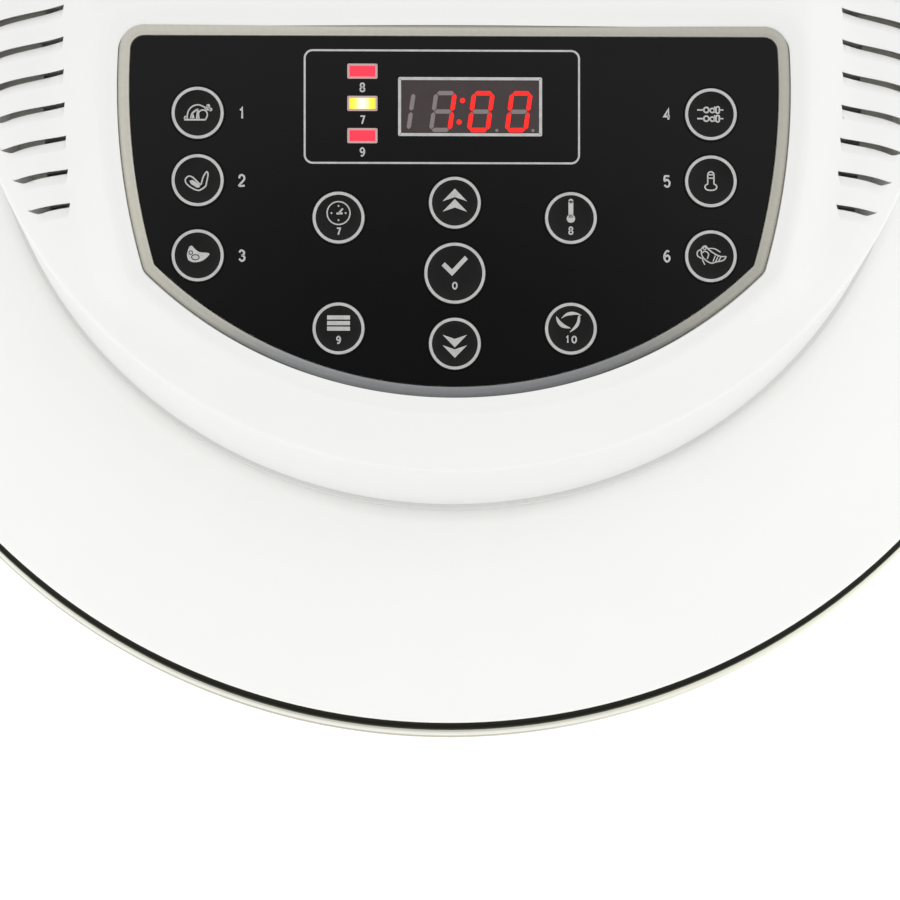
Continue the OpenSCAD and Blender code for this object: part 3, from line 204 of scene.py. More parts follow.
def bezel_metal_painted_reflection():
    """Silver plate with a painted reflection: warm at the top, turning to a darker blue grey towards the
    bottom of the panel, and with painted shade that darkens it towards the right.
    """
    material, tree, shader = new_material("silver_bezel")
    coords, parts = object_coords(tree)
    # Painted reflection: darker and bluer towards the bottom of the panel
    painted_reflection_down = ((-0.1135, (152, 153, 155)), (-0.107, (160, 161, 162)), (-0.100, (186, 185, 176)),
                  (-0.080, (210, 207, 194)), (-0.040, (207, 204, 193)))
    tint = ramp_over(tree, parts["Y"], tints(painted_reflection_down))
    speckle = ramp_over(tree, noise_over(tree, coords, 900.0), greys((0.3, 0.94), (0.7, 1.0)))
    # Painted shade: darker towards the right
    painted_shade_right = ramp_over(tree, parts["X"], greys((-0.05, 1.0), (0.06, 0.80)))
    for other in (speckle, painted_shade_right):
        tint = add(tree, "Mix", {"A": tint, "B": other}, {"Factor": 1.0}, data_type="RGBA",
                   blend_type="MULTIPLY").outputs["Result"]
    fit(tree, shader, {"Base Color": tint}, {"Roughness": 0.34, "Metallic": 0.4})
    bump(tree, shader, coords, 2600.0, 0.10)
    return material


WHITE = surface("white_plastic", (242, 242, 241), 0.28, spread=0.004, specular=0.35, coat=0.12,
        grain=(1400.0, 0.02))
LID_WHITE = surface("lid_white", (248, 248, 246), 0.12, spread=0.003, specular=0.45, coat=0.35,
        grain=(30.0, 0.02))
# The lid's rim band: the glass edge's olive tint, darkened into a painted dark refraction line
LID_EDGE_TINT_AND_PAINTED_REFRACTION = surface("lid_edge_tint_and_painted_refraction", (22, 23, 12), 0.35, spread=0.08, scale=300, specular=0.06)
# The bowl's bead: the glass's tint with painted highlights and painted light
BOWL_EDGE_TINT_AND_PAINTED_LIGHT = bowl_edge_tint_and_painted_light()
# The bezel's silver, with painted reflection and painted shade
SILVER_PAINTED_REFLECTION = bezel_metal_painted_reflection()
BUTTON_BLACK = surface("button_black", (17, 17, 17), 0.30, spread=0.16, scale=700, specular=0.22,
        grain=(2600.0, 0.08))
PRINT = surface("silver_print", (192, 192, 191), 0.35, metal=0.2, spread=0.10, scale=600,
        grain=(3000.0, 0.08))
DISPLAY = surface("display_face", (70, 62, 62), 0.30, spread=0.05, scale=300, specular=0.15)
SEGMENT_OFF = surface("segment_unlit", (128, 120, 118), 0.4, spread=0.05, scale=800)
SEGMENT_ON = glow("segment_lit", (255, 24, 16), 0.72)
LENS_RED = glow("lens_red", (250, 48, 72), 0.45)
LENS_YELLOW = yellow_lens()
# Painted shade: a darker grey for the depth of the slots
VENT_PAINTED_SHADE = surface("vent_painted_shade", (212, 211, 206), 0.5, spread=0.04, specular=0.2)
LAMP_BORDER = surface("lamp_border", (196, 166, 164), 0.4, spread=0.04)
CLEAR = clear_glass()
FINISH = {
    "white_plastic": WHITE, "white_glass": LID_WHITE, "clear_glass": CLEAR, "silver_bezel": SILVER_PAINTED_REFLECTION,
    "display_filter": DISPLAY, "lens_red": LENS_RED,
    "black_panel": surface("panel_black", (10, 10, 11), 0.13, spread=0.10, scale=140, specular=0.20,
        grain=(2200.0, 0.02)),
    "dark_plastic": surface("dark_plastic", (52, 52, 54), 0.5, spread=0.05),
    "light_plastic": surface("light_plastic", (222, 222, 220), 0.45, spread=0.02, grain=(1500.0, 0.08)),
    "rubber": surface("black_rubber", (46, 46, 47), 0.75, spread=0.06, grain=(1800.0, 0.2)),
    "gasket": surface("gasket_silicone", (170, 170, 166), 0.6, spread=0.03),
    "steel": surface("brushed_steel", (196, 197, 200), 0.28, metal=1.0, spread=0.05, scale=300,
        grain=(1200.0, 0.10)),
    "reflector_steel": surface("reflector_steel", (214, 214, 214), 0.16, metal=1.0, spread=0.04,
        scale=120, grain=(900.0, 0.08), stretch=(1, 1, 14)),
    "chrome_wire": surface("chrome_wire", (222, 223, 226), 0.08, metal=1.0, spread=0.02),
    "fan_steel": surface("fan_aluminium", (204, 205, 207), 0.3, metal=1.0, spread=0.05, scale=200),
    "felt": surface("ceramic_felt", (228, 220, 200), 0.9, spread=0.08, scale=300, grain=(700.0, 0.5)),
    "ceramic": surface("ceramic", (236, 230, 216), 0.5, spread=0.03),
    "quartz": surface("quartz_tube", (214, 214, 220), 0.08, spread=0.02, coat=0.6),
    "board": surface("green_board", (30, 84, 48), 0.4, spread=0.12, scale=500, coat=0.2),
    "components": surface("components", (48, 50, 54), 0.45, spread=0.10, scale=300),
    "core_steel": surface("core_steel", (96, 96, 98), 0.4, metal=0.8, spread=0.10, scale=100,
        grain=(300.0, 0.4), stretch=(0.1, 0.1, 20)),
    "copper": surface("winding_copper", (190, 110, 60), 0.3, metal=0.9, spread=0.08, scale=400,
        grain=(500.0, 0.5), stretch=(12, 0.1, 0.1)),
}
NODE_SLOT = {p["node"]: p["material_slot"] for p in frame["record"]["subparts"]}
NODE_BODY = {n: b for b, ns in frame["record"]["behaviour"]["bodies"].items() for n in ns}
for node_name, node_object in frame["nodes"].items():
    node_object.data.materials.clear()
    node_object.data.materials.append(FINISH[NODE_SLOT[node_name]])


# Mesh helpers

def rides_as(piece, body, replaces=()):
    """Tells the frame which body a piece rides on and the CAD nodes that it stands for."""
    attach(piece, body)
    if replaces:
        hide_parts(*replaces)


def face_outward(mesh):
    work = bmesh.new()
    work.from_mesh(mesh)
    bmesh.ops.recalc_face_normals(work, faces=work.faces)
    work.to_mesh(mesh)
    work.free()


def modify(thing, kind, **settings):
    """Puts the mesh that a modifier makes in place of an object's own."""
    modifier = thing.modifiers.new("shape", kind)
    for name, value in settings.items():
        setattr(modifier, name, value)
    graph = bpy.context.evaluated_depsgraph_get()
    made = bpy.data.meshes.new_from_object(thing.evaluated_get(graph))
    thing.modifiers.clear()
    thing.data = made
    return made


def read(items, name, width=1, kind=float):
    """One value, or width values, of each vertex, corner or face of a mesh."""
    values = np.zeros(len(items)*width, kind)
    items.foreach_get(name, values)
    return values.reshape(-1, width) if width > 1 else values


def shade(mesh, angle):
    """Smooth shading, with edges sharp from an angle in degrees on."""
    mesh.shade_smooth()
    mesh.set_sharp_from_angle(angle=math.radians(angle))


def in_scene(name, mesh):
    thing = bpy.data.objects.new(name, mesh)
    bpy.context.scene.collection.objects.link(thing)
    return thing


def closed_object(name, verts, faces):
    """An object from points in mm in the lid frame, with its faces outward."""
    mesh = bpy.data.meshes.new(name)
    mesh.from_pydata([tuple(v) for v in (np.asarray(verts, float) + RIM)*MM], [], faces)
    face_outward(mesh)
    return in_scene(name, mesh)


def place(name, verts, faces, body, materials, replaces=(), marks=None, smooth=40.0):
    """A piece from points in mm in the row frame, riding on a body."""
    mesh = bpy.data.meshes.new(name)
    mesh.from_pydata([tuple(v) for v in np.asarray(verts, float)*MM], [], faces)
    piece = in_scene(name, mesh)
    for material in materials if isinstance(materials, list) else [materials]:
        mesh.materials.append(material)
    if marks is not None:
        mesh.polygons.foreach_set("material_index", np.asarray(marks, np.int32))
    shade(mesh, smooth)
    mesh.update()
    rides_as(piece, body, replaces)
    return piece


def grid_faces(rows, columns, close_rows=False):
    """Quads of a grid of rows whose columns run round a closed loop."""
    r = np.arange(rows if close_rows else rows - 1)[:, None]
    c = np.arange(columns)[None, :]
    nr, nc = (r + 1) % rows, (c + 1) % columns
    quads = np.stack([r*columns + c, r*columns + nc, nr*columns + nc, nr*columns + c], -1)
    return [tuple(q) for q in quads.reshape(-1, 4).tolist()]


def tube_faces(rows, columns):
    """The quads of such a grid and the faces of its two ends."""
    last = (rows - 1)*columns
    return grid_faces(rows, columns) + [tuple(range(columns))[::-1], tuple(range(last, last + columns))]


def turned(profile, steps):
    """Rows of points from (radius, height) points turned round an upright axis."""
    angles = np.linspace(0, 2*math.pi, steps, endpoint=False)
    return np.stack([np.outer(profile[:, 0], np.cos(angles)), np.outer(profile[:, 0], np.sin(angles)),
                     np.repeat(profile[:, 1:2], steps, 1)], -1).reshape(-1, 3)


def lathe(name, section, body, materials, replaces=(), steps=160, marks=None, centre=RIM):
    """Turns a section of (radius, height) points round a vertical axis; it runs anticlockwise.

    A section whose ends lie on the axis is closed there, and any other is a closed loop.
    """
    section = np.asarray(section, float)
    solid = section[0][0] == 0
    body_rows = section[1:-1] if solid else section
    verts = turned(body_rows, steps)
    faces = grid_faces(len(body_rows), steps, not solid)
    if solid:
        low, high, last = len(verts), len(verts) + 1, (len(body_rows) - 1)*steps
        verts = np.concatenate([verts, [[0, 0, section[0][1]], [0, 0, section[-1][1]]]])
        faces += [(low, (c + 1) % steps, c) for c in range(steps)]
        faces += [(high, last + c, last + (c + 1) % steps) for c in range(steps)]
    if marks is not None:
        marks = np.repeat(marks[:len(body_rows)], steps)
        marks = np.concatenate([marks, np.zeros(len(faces) - len(marks), int)])[:len(faces)]
    return place(name, verts + centre, faces, body, materials, replaces, marks)


def arc(cx, cy, r, a0, a1, n):
    a = np.radians(np.linspace(a0, a1, n + 1))
    return [(cx + r*math.cos(t), cy + r*math.sin(t)) for t in a]


def circle(x, y, r, n):
    return [(x + r*math.cos(t), y + r*math.sin(t)) for t in np.linspace(0, 2*math.pi, n, endpoint=False)]


def on_panel(points, w=0.0):
    """Row frame places of (u, v) or (u, v, w) points of the panel."""
    p = np.asarray(points, float)
    out = p[:, 2] if p.shape[1] == 3 else np.full(len(p), w)
    return (RIM + PANEL + p[:, :1]*U_AXIS + p[:, 1:2]*V_AXIS + out[:, None]*W_AXIS)


class Ink:
    """Flat marks on the panel, gathered into one thin solid mesh between heights low and high."""

    def __init__(self, low, high, at=(0, 0)):
        self.low, self.high, self.at = low, high, np.array(at, float)
        self.verts, self.faces = [], []

    def fill(self, outline):
        """A filled shape; its outline runs anticlockwise."""
        pts = np.asarray(outline, float) + self.at
        area = np.sum(pts[:, 0]*np.roll(pts[:, 1], -1) - np.roll(pts[:, 0], -1)*pts[:, 1])
        if area < 0:
            pts = pts[::-1]
        n, start = len(pts), len(self.verts)
        self.verts += [(x, y, self.low) for x, y in pts] + [(x, y, self.high) for x, y in pts]
        self.faces.append(tuple(range(start + n, start + 2*n)))
        self.faces.append(tuple(range(start + n - 1, start - 1, -1)))
        self.faces += [(start + i, start + (i + 1) % n, start + n + (i + 1) % n, start + n + i)
                       for i in range(n)]

    def line(self, points, width, closed=False):
        """A line of even width along points."""
        p = np.asarray(points, float)
        a, b = p - np.roll(p, 1, 0), np.roll(p, -1, 0) - p
        if not closed:
            a[0], b[-1] = b[0], a[-1]
        na, nb = (np.stack([-s[:, 1], s[:, 0]], 1)/np.linalg.norm(s, axis=1)[:, None] for s in (a, b))
        m = na + nb
        m /= np.maximum(np.linalg.norm(m, axis=1), 1e-9)[:, None]
        reach = np.clip(width/2/np.maximum(np.sum(m*na, 1), 0.35), 0, width)[:, None]
        left, right = p + m*reach + self.at, p - m*reach + self.at
        n, s = len(p), len(self.verts)
        for ring, w in ((left, self.low), (right, self.low), (right, self.high), (left, self.high)):
            self.verts += [(x, y, w) for x, y in ring]
        last = n if closed else n - 1
        for i in range(last):
            j = (i + 1) % n
            for k in range(4):
                q = (k + 1) % 4
                self.faces.append((s + k*n + i, s + k*n + j, s + q*n + j, s + q*n + i))
        if not closed:
            self.faces.append((s, s + n, s + 2*n, s + 3*n))
            self.faces.append((s + 4*n - 1, s + 3*n - 1, s + 2*n - 1, s + n - 1))

    def curve(self, points, width, steps=6, closed=False):
        self.line(curve_through(points, steps, closed), width, closed)

    def ring(self, x, y, r, width, n=64):
        self.line(circle(x, y, r, n), width, True)

    def dot(self, x, y, r, n=20):
        self.fill(circle(x, y, r, n))

    def box_line(self, box, width, inset, r, n):
        """A line round a box of (left, right, low, high), whose middle lies half the inset inside it."""
        left, right, low, high = box
        self.line(rounded_box(right - left - inset, high - low - inset, r, n)
                  + [(left + right)/2, (low + high)/2], width, True)

    def piece(self, name, body="lid", material=PRINT, slot="silver_bezel", replaces=()):
        piece = place(name, on_panel(self.verts), self.faces, body, material, replaces, smooth=30)
        face_outward(piece.data)


def curve_through(points, steps=6, closed=False):
    """A smooth line through points (Catmull-Rom)."""
    p = np.asarray(points, float)
    out = []
    q = np.concatenate([p[-1:], p, p[:2]] if closed else [p[:1], p, p[-1:]])
    for a, b, c, d in zip(q, q[1:], q[2:], q[3:]):
        for t in np.linspace(0, 1, steps, endpoint=False):
            out.append(0.5*(2*b + (c - a)*t + (2*a - 5*b + 4*c - d)*t*t + (3*b - a - 3*c + d)*t**3))
    if not closed:
        out.append(p[-1])
    return np.array(out)


def rounded_box(w, h, r, n=6):
    pts = []
    for k, (sx, sy) in enumerate(((1, 1), (-1, 1), (-1, -1), (1, -1))):
        pts += arc(sx*(w/2 - r), sy*(h/2 - r), r, 90*k, 90*k + 90, n)
    return np.array(pts)


ROUND_STEPS, ROUND_ANGLE = 3, 28     # of a rounded edge, and from how many degrees on


def refine(node, width):
    """A copy of a CAD node with its edges rounded, which stands for the node."""
    piece = in_scene(node + "_body", frame["nodes"][node].data.copy())
    work = bmesh.new()
    work.from_mesh(piece.data)
    bmesh.ops.remove_doubles(work, verts=work.verts, dist=2e-6)
    bmesh.ops.dissolve_limit(work, angle_limit=math.radians(0.6), verts=work.verts, edges=work.edges)
    work.to_mesh(piece.data)
    work.free()
    piece.data.materials.clear()
    piece.data.materials.append(FINISH[NODE_SLOT[node]])
    piece.data.shade_smooth()
    made = modify(piece, "BEVEL", width=width*MM, segments=ROUND_STEPS, limit_method="ANGLE",
                  angle_limit=math.radians(ROUND_ANGLE), harden_normals=False, use_clamp_overlap=True)
    shade(made, ROUND_ANGLE)
    rides_as(piece, NODE_BODY[node], (node,))


# Panel outline

LOW_R, SIDE_R, CORNER_R = 94.0, 139.0, 1.0      # arcs of its bottom, its sides and where they meet
PANEL_LOW, PANEL_TOP = 33.2, 43.4               # its reach below and above the middle
PANEL_HALF, WIDEST_V = 71.0, 32.0               # half its greatest width, and the height of that


def panel_outline(d, top=PANEL_TOP, top_r=3.0):
    """The black panel's outline, d mm outside its edge, as (u, v) points from the bottom."""
    top_r, corner_r = max(top_r, 0.4 - d), max(CORNER_R, 0.4 - d)
    low_mid, side_mid = np.array([0, LOW_R - PANEL_LOW]), np.array([PANEL_HALF - SIDE_R, WIDEST_V])
    low_reach, side_reach = LOW_R - corner_r, SIDE_R - corner_r
    gap = np.linalg.norm(side_mid - low_mid)
    x = (low_reach*low_reach - side_reach*side_reach + gap*gap)/(2*gap)
    along = (side_mid - low_mid)/gap
    corner = (low_mid + x*along
              + math.sqrt(low_reach*low_reach - x*x)*np.array([-along[1], along[0]]))
    level = top - top_r
    top_mid = np.array([side_mid[0] + math.sqrt((SIDE_R - top_r)**2 - (level - side_mid[1])**2), level])

    def heading(start, end):
        return math.degrees(math.atan2(end[1] - start[1], end[0] - start[0]))
    a1, a2, a3 = heading(low_mid, corner), heading(side_mid, corner), heading(side_mid, top_mid)
    half = np.array(arc(*low_mid, LOW_R + d, -90, a1, 44) + arc(*corner, corner_r + d, a1, a2, 10)[1:]
                    + arc(*side_mid, SIDE_R + d, a2, a3, 30)[1:]
                    + arc(*top_mid, top_r + d, a3, 90, 16)[1:])
    straight = np.linspace(half[-1], [0, half[-1][1]], 41)[1:]
    half = np.concatenate([half, straight])
    return np.concatenate([half, (half*[-1, 1])[-2:0:-1]])


BATCH = 4000     # points measured at a time, to save memory


def distance(points, outline):
    """Signed distance of (u, v) points from a closed outline, positive outside."""
    a, b = outline, np.roll(outline, -1, 0)
    ab = b - a
    ll = np.maximum((ab**2).sum(1), 1e-12)
    out = np.empty(len(points))
    y0, y1 = a[None, :, 1], b[None, :, 1]
    rise = np.where(y1 == y0, 1e-9, y1 - y0)
    for i in range(0, len(points), BATCH):
        batch = points[i:i + BATCH]
        p = batch[:, None, :] - a[None]
        t = np.clip((p*ab).sum(2)/ll, 0, 1)
        gap = p - t[..., None]*ab
        dist = np.sqrt((gap**2).sum(2).min(1))
        py = batch[:, 1:]
        xs = a[None, :, 0] + (py - y0)*ab[None, :, 0]/rise
        inside = (((y0 > py) != (y1 > py)) & (batch[:, :1] < xs)).sum(1) % 2 == 1
        out[i:i + BATCH] = np.where(inside, -dist, dist)
    return out


# Head

CROWN, CROWN_R, ROLL_R, EDGE_R, HEAD_R, FOOT_R, FOOT_Z = 82.7, 386.0, 28.6, 2.6, 112.0, 113.5, 28.5
CREST_D, CREST_W, BEZEL_D, SKIN = 6.2, 2.5, 2.7, 2.5
A1, A2 = math.asin((HEAD_R - 12)/CROWN_R), math.radians(40)
C1 = np.array([0, CROWN - CROWN_R])
C2 = C1 + (CROWN_R - ROLL_R)*np.array([math.sin(A1), math.cos(A1)])
C3 = C2 + (ROLL_R - EDGE_R)*np.array([math.sin(A2), math.cos(A2)])
EDGE_START = C2[0] + ROLL_R*math.sin(A2)
INNER = panel_outline(0)
CREST = panel_outline(0, top=58.0, top_r=14.0)


def soft_min(a, b, width):
    return 0.5*(a + b - np.sqrt((a - b)**2 + width*width))


def soft_max(a, b, width):
    return 0.5*(a + b + np.sqrt((a - b)**2 + width*width))


def dome(r):
    r = np.minimum(r, EDGE_START)
    crown = C1[1] + np.sqrt(CROWN_R**2 - r**2)
    roll = C2[1] + np.sqrt(np.maximum(ROLL_R**2 - (r - C2[0])**2, 1))
    return np.where(r < HEAD_R - 12, crown, roll)


def console_w(u, v):
    """Height of the console's skin above the panel's plane."""
    uv = np.stack([u, v], 1)
    d_in, d_out = distance(uv, INNER), distance(uv, CREST)
    rise = (d_in - BEZEL_D)*CREST_W/(CREST_D - BEZEL_D) + 0.15
    fall = CREST_W + 0.35 - (d_out - CREST_D)
    return soft_min(soft_min(rise, CREST_W + 0.25, 0.7), fall, 1.6)


def head_height(xy):
    """Height of the head's outer skin over (x, y), in the lid frame."""
    r = np.hypot(xy[:, 0], xy[:, 1])
    w = np.zeros(len(xy))
    for _ in range(3):
        v = (xy[:, 1] - PANEL[1] + w*math.sin(TILT))/math.cos(TILT)
        w = console_w(xy[:, 0], v)
    console = PANEL[2] + v*math.sin(TILT) + w*math.cos(TILT)
    ground = dome(r)
    blend = np.clip((EDGE_START - r)/8, 0, 1)*2.2 + 0.05
    return soft_max(console, ground - 0.15*blend, blend)


def head_mesh():
    """Outer and inner skin of the head: rows of points round the panel's opening."""
    def panel_row(d, w):
        outline = panel_outline(d)
        return PANEL + outline[:, :1]*U_AXIS + outline[:, 1:2]*V_AXIS + w*W_AXIS
    rows = [panel_row(d, w) for d, w in ((-2.0, -5.0), (-2.0, -2.55), (BEZEL_D, -2.55), (BEZEL_D, -0.3))]
    # Rays from a point under the panel, on which the rows run out to the shoulder
    start = panel_row(BEZEL_D, 0.0)[:, :2]
    columns = len(start)
    eye = np.array([0, PANEL[1] + 12.0])
    ray = start - eye
    ray /= np.linalg.norm(ray, axis=1)[:, None]
    along = (ray*eye).sum(1)
    reach = -along + np.sqrt(along**2 + EDGE_START**2 - (eye**2).sum())
    finish = eye + ray*reach[:, None]
    # Even steps over the slope and the crest, and wider ones further out
    near = np.linspace(0, 9.0, 16)
    for k, d in enumerate(near):
        xy = PANEL[:2] + panel_outline(BEZEL_D + d)*[1, math.cos(TILT)] + [0, -0.5]
        share = (k/(len(near) - 1))**3*0.12
        rows.append(xy*(1 - share) + finish*share)
    last = rows[-1]
    rows += [last*(1 - t) + finish*t for t in np.linspace(0, 1, 46)[1:]]
    flat = [i for i, row in enumerate(rows) if row.shape[1] == 2]
    heights = head_height(np.concatenate([rows[i] for i in flat])).reshape(len(flat), columns)
    for i, z in zip(flat, heights):
        rows[i] = np.concatenate([rows[i], z[:, None]], 1)
    # The wall, and back up inside it
    angle = np.arctan2(finish[:, 1], finish[:, 0])
    spin = np.stack([np.cos(angle), np.sin(angle)], 1)
    section = arc(*C3, EDGE_R, 90 - math.degrees(A2), 2, 8)[1:]
    r0, z0 = section[-1]
    section += [(r0 + (FOOT_R - r0)*t, z0 + (FOOT_Z + 0.5 - z0)*t) for t in np.linspace(0, 1, 9)[1:]]
    section += [(FOOT_R - 0.5, FOOT_Z), (FOOT_R - SKIN, FOOT_Z)]
    section += [(FOOT_R - SKIN - 1.5*t, FOOT_Z + (58.5 - FOOT_Z)*t) for t in np.linspace(0, 1, 4)[1:]]
    rows += [np.concatenate([spin*r, np.full((columns, 1), z)], 1) for r, z in section]
    # Back under the skin, from the shoulder to the ledge
    for i in [flat[-1] - k for k in (3, 8, 14, 20, 26, 32, 38)] + [flat[10], flat[4]]:
        row = rows[i].copy()
        row[:, 2] -= SKIN + 0.6 + 4.6*smooth(np.abs(row[:, 0]), 78, 84)
        rows.append(row)
    rows.append(panel_row(-1.0, -5.2))
    return rows, columns


VENT_COUNT, VENT_PITCH, VENT_LIP, VENT_W = 13, 7.45, -52.65, 3.4
VENT_BEND, VENT_IN, VENT_OUT = 110.0, 86.3, 109.0
SLIT_DEPTH = 1.5      # faces deeper than this get the slots' painted shade
VENT_STEPS = 26
SWELL_SHIFT = 0.194     # how far back a point seems to move for each mm that the flank rises
SIGHT = 0.45          # how far a point seems to move forward for each mm of depth
# Lines along a slot, from the skin in front of it down its hollow, under the lip and up behind it. Each
# gives how far ahead of the lip it runs (mm, share of the slit's edge), how deep (mm, shares of the
# hollow's fall and of the slit's floor), and how far it stops short of either end.
VENT_LINES = (
    ((VENT_W + 0.5, 0), (-0.9, 0, 0), 2.0, 0), ((VENT_W, 0), (-0.04, 0, 0), 1.6, 0),
    ((VENT_W - 0.5, 0), (-0.04, 0.16, 0), 0.75, 0), ((VENT_W - 1.2, 0), (-0.04, 0.52, 0), 0.25, 0),
    ((0.12, 1), (-0.04, 0.96, 0), 0.05, 0), ((0, 1), (-0.03, 1.08, 0), 0.05, 0),
    ((0, 0.9), (0.7, 1, 0), 0.05, 0.42), ((0, 0.88), (0, 0, 1), 0.05, 3.6),
    ((-2.4, 0), (0, 0, 1), 0.05, 3.6), ((-1.2, 0), (2.3, 0, 0), 0.05, 1.4),
    ((-0.12, 0), (0.8, 0, 0), 0.1, 0.48), ((0, 0), (0.34, 0, 0), 0.15, 0.2),
    ((-0.25, 0), (0.08, 0, 0), 0.25, 0.05), ((-0.8, 0), (-0.04, 0, 0), 0.7, 0),
    ((-1.2, 0), (-0.9, 0, 0), 1.0, 0))


def smooth(x, low, high):
    t = np.clip((x - low)/(high - low), 0, 1)
    return t*t*(3 - 2*t)


def vent_bend(run):
    return VENT_BEND - np.sqrt(VENT_BEND**2 - run**2)


def vent_lines(side, lip):
    """The lines of one slot, as points; its lip starts lip mm in front of the head's middle."""
    x_in = VENT_IN - lip*lip/1500
    length = VENT_OUT - x_in
    for _ in range(6):
        length = math.sqrt(VENT_OUT**2 - (lip - vent_bend(length))**2) - x_in
    share = 0.5 - 0.5*np.cos(np.linspace(0, math.pi, VENT_STEPS))
    points = []
    for (ahead, ahead_edge), (depth, depth_fall, depth_floor), start, stop in VENT_LINES:
        run = start + share*(length - start - stop)
        left = length - run
        slit = (1.15 + 0.03*run + 0.1*smooth(-left, -5.5, -2.7))*np.clip(left/2.7, 0, 1)**0.9
        fall = 1.25*smooth(run, -0.8, 1.2)*smooth(left, 0.2, 5.0)
        floor = 6.0 + 5.5*(1 - smooth(run, 5.5, 6.7))
        edge = np.clip(slit - SIGHT*fall, 0.02, 1.85)
        line = np.stack([side*(x_in + run), lip - vent_bend(run)], 1)
        swell = head_height(line) - dome(np.hypot(line[:, 0], line[:, 1]))
        line[:, 1] = line[:, 1] - SWELL_SHIFT*swell - (ahead + ahead_edge*edge)
        height = head_height(line) - (depth + depth_fall*fall + depth_floor*floor)
        points += list(zip(line[:, 0], line[:, 1], height))
    return points


def vent_cutters():
    """Louvred slots: a hollow falls to a slit that runs under the slot's back edge, or lip."""
    verts, faces = [], []
    n, steps = len(VENT_LINES), VENT_STEPS
    for side in (-1, 1):
        for k in range(VENT_COUNT):
            start = len(verts)
            verts += vent_lines(side, VENT_LIP + k*VENT_PITCH)
            for i in range(n):
                a, b = start + i*steps, start + (i + 1) % n*steps
                faces += [(a + c, a + c + 1, b + c + 1, b + c) for c in range(steps - 1)]
            faces.append(tuple(start + i*steps for i in range(n)))
            faces.append(tuple(start + i*steps + steps - 1 for i in range(n))[::-1])
    return verts, faces


# The hinge arm's way out at the back of the head
WAY_HALF, WAY_Y, WAY_Z = 32.3, (92.0, 132.0), (27.0, 53.2)
BOX_FACES = ((0, 1, 3, 2), (4, 6, 7, 5), (0, 4, 5, 1), (2, 3, 7, 6), (0, 2, 6, 4), (1, 5, 7, 3))


def skin_normals(made):
    """Normals from the skin's own slope where a face lies in it, and by angle elsewhere."""
    shade(made, 32)
    verts = read(made.vertices, "co", 3)/MM - RIM
    face_normal = read(made.polygons, "normal", 3)
    corner_vert = read(made.loops, "vertex_index", kind=np.int32)
    sides = read(made.polygons, "loop_total", kind=np.int32)
    corner_face = np.repeat(np.arange(len(sides)), sides)
    normals = read(made.corner_normals, "vector", 3)
    near = np.where((np.hypot(verts[:, 0], verts[:, 1]) < EDGE_START - 0.4) & (verts[:, 2] > 55))[0]
    xy, step = verts[near, :2], 0.05
    slope = [(head_height(xy + go) - head_height(xy - go))/(2*step) for go in ([step, 0], [0, step])]
    on_slope = np.stack([-slope[0], -slope[1], np.ones(len(xy))], 1)
    on_slope /= np.linalg.norm(on_slope, axis=1)[:, None]
    on_skin = np.abs(verts[near, 2] - head_height(xy)) < 0.05
    wanted = np.zeros((len(verts), 3))
    wanted[near[on_skin]] = on_slope[on_skin]
    wanted = wanted[corner_vert]
    fits = (wanted*face_normal[corner_face]).sum(1) > 0.9
    normals[fits] = wanted[fits]
    made.normals_split_custom_set([tuple(n) for n in normals])


def build_head():
    rows, columns = head_mesh()
    head = closed_object("head_skin", np.concatenate(rows), grid_faces(len(rows), columns, True))
    verts, faces = vent_cutters()
    faces += [tuple(len(verts) + i for i in face) for face in BOX_FACES]
    verts += [(side*WAY_HALF, y, z) for side in (-1, 1) for y in WAY_Y for z in WAY_Z]
    cutter = closed_object("vent_cutter", verts, faces)
    made = modify(head, "BOOLEAN", operation="DIFFERENCE", solver="EXACT", object=cutter)
    bpy.data.objects.remove(cutter)
    skin_normals(made)
    # Painted shade: the depth of the slots gets a darker grey than the head's white
    centres = read(made.polygons, "center", 3)/MM - RIM
    deep = head_height(centres[:, :2]) - centres[:, 2] > SLIT_DEPTH
    deep &= (np.abs(centres[:, 0]) > 78) & (centres[:, 2] > 56)
    deep &= np.hypot(centres[:, 0], centres[:, 1]) < EDGE_START - 1
    made.materials.clear()
    made.materials.append(WHITE)
    made.materials.append(VENT_PAINTED_SHADE)
    made.polygons.foreach_set("material_index", deep.astype(np.int32))
    rides_as(head, "lid", ("head_shell",))


build_head()

EAR_X, EAR_Y, EAR_Z, EAR_R, EAR_FOOT = (69.9, 76.9), 24.0, 85.5, 6.49, 71.0


def handle_ear(side):
    """An ear of the head that holds one pin of the carrying handle."""
    x0, x1 = EAR_X
    outline = ([(EAR_Y + 8, EAR_FOOT), (EAR_Y + 8, 80.0)] + arc(EAR_Y, EAR_Z, EAR_R, 10, 170, 20)
               + [(EAR_Y - 8, 80.0), (EAR_Y - 8, EAR_FOOT)])
    layers = [(x0, 0.8), (x0 + 0.25, 0.25), (x0 + 0.8, 0), (x1 - 0.8, 0), (x1 - 0.25, 0.25), (x1, 0.8)]
    cy, cz = np.mean(outline, 0)
    verts = [(side*x, cy + (y - cy)*(1 - shrink/8), cz + (z - cz)*(1 - shrink/8))
             for x, shrink in layers for y, z in outline]
    ear = closed_object("handle_ear_" + ("right" if side > 0 else "left"), verts,
                        tube_faces(len(layers), len(outline)))
    ear.data.materials.append(WHITE)
    shade(ear.data, 35)
    rides_as(ear, "lid", ("head_shell",))


for ear_side in (-1, 1):
    handle_ear(ear_side)


# Lid glass and bowl

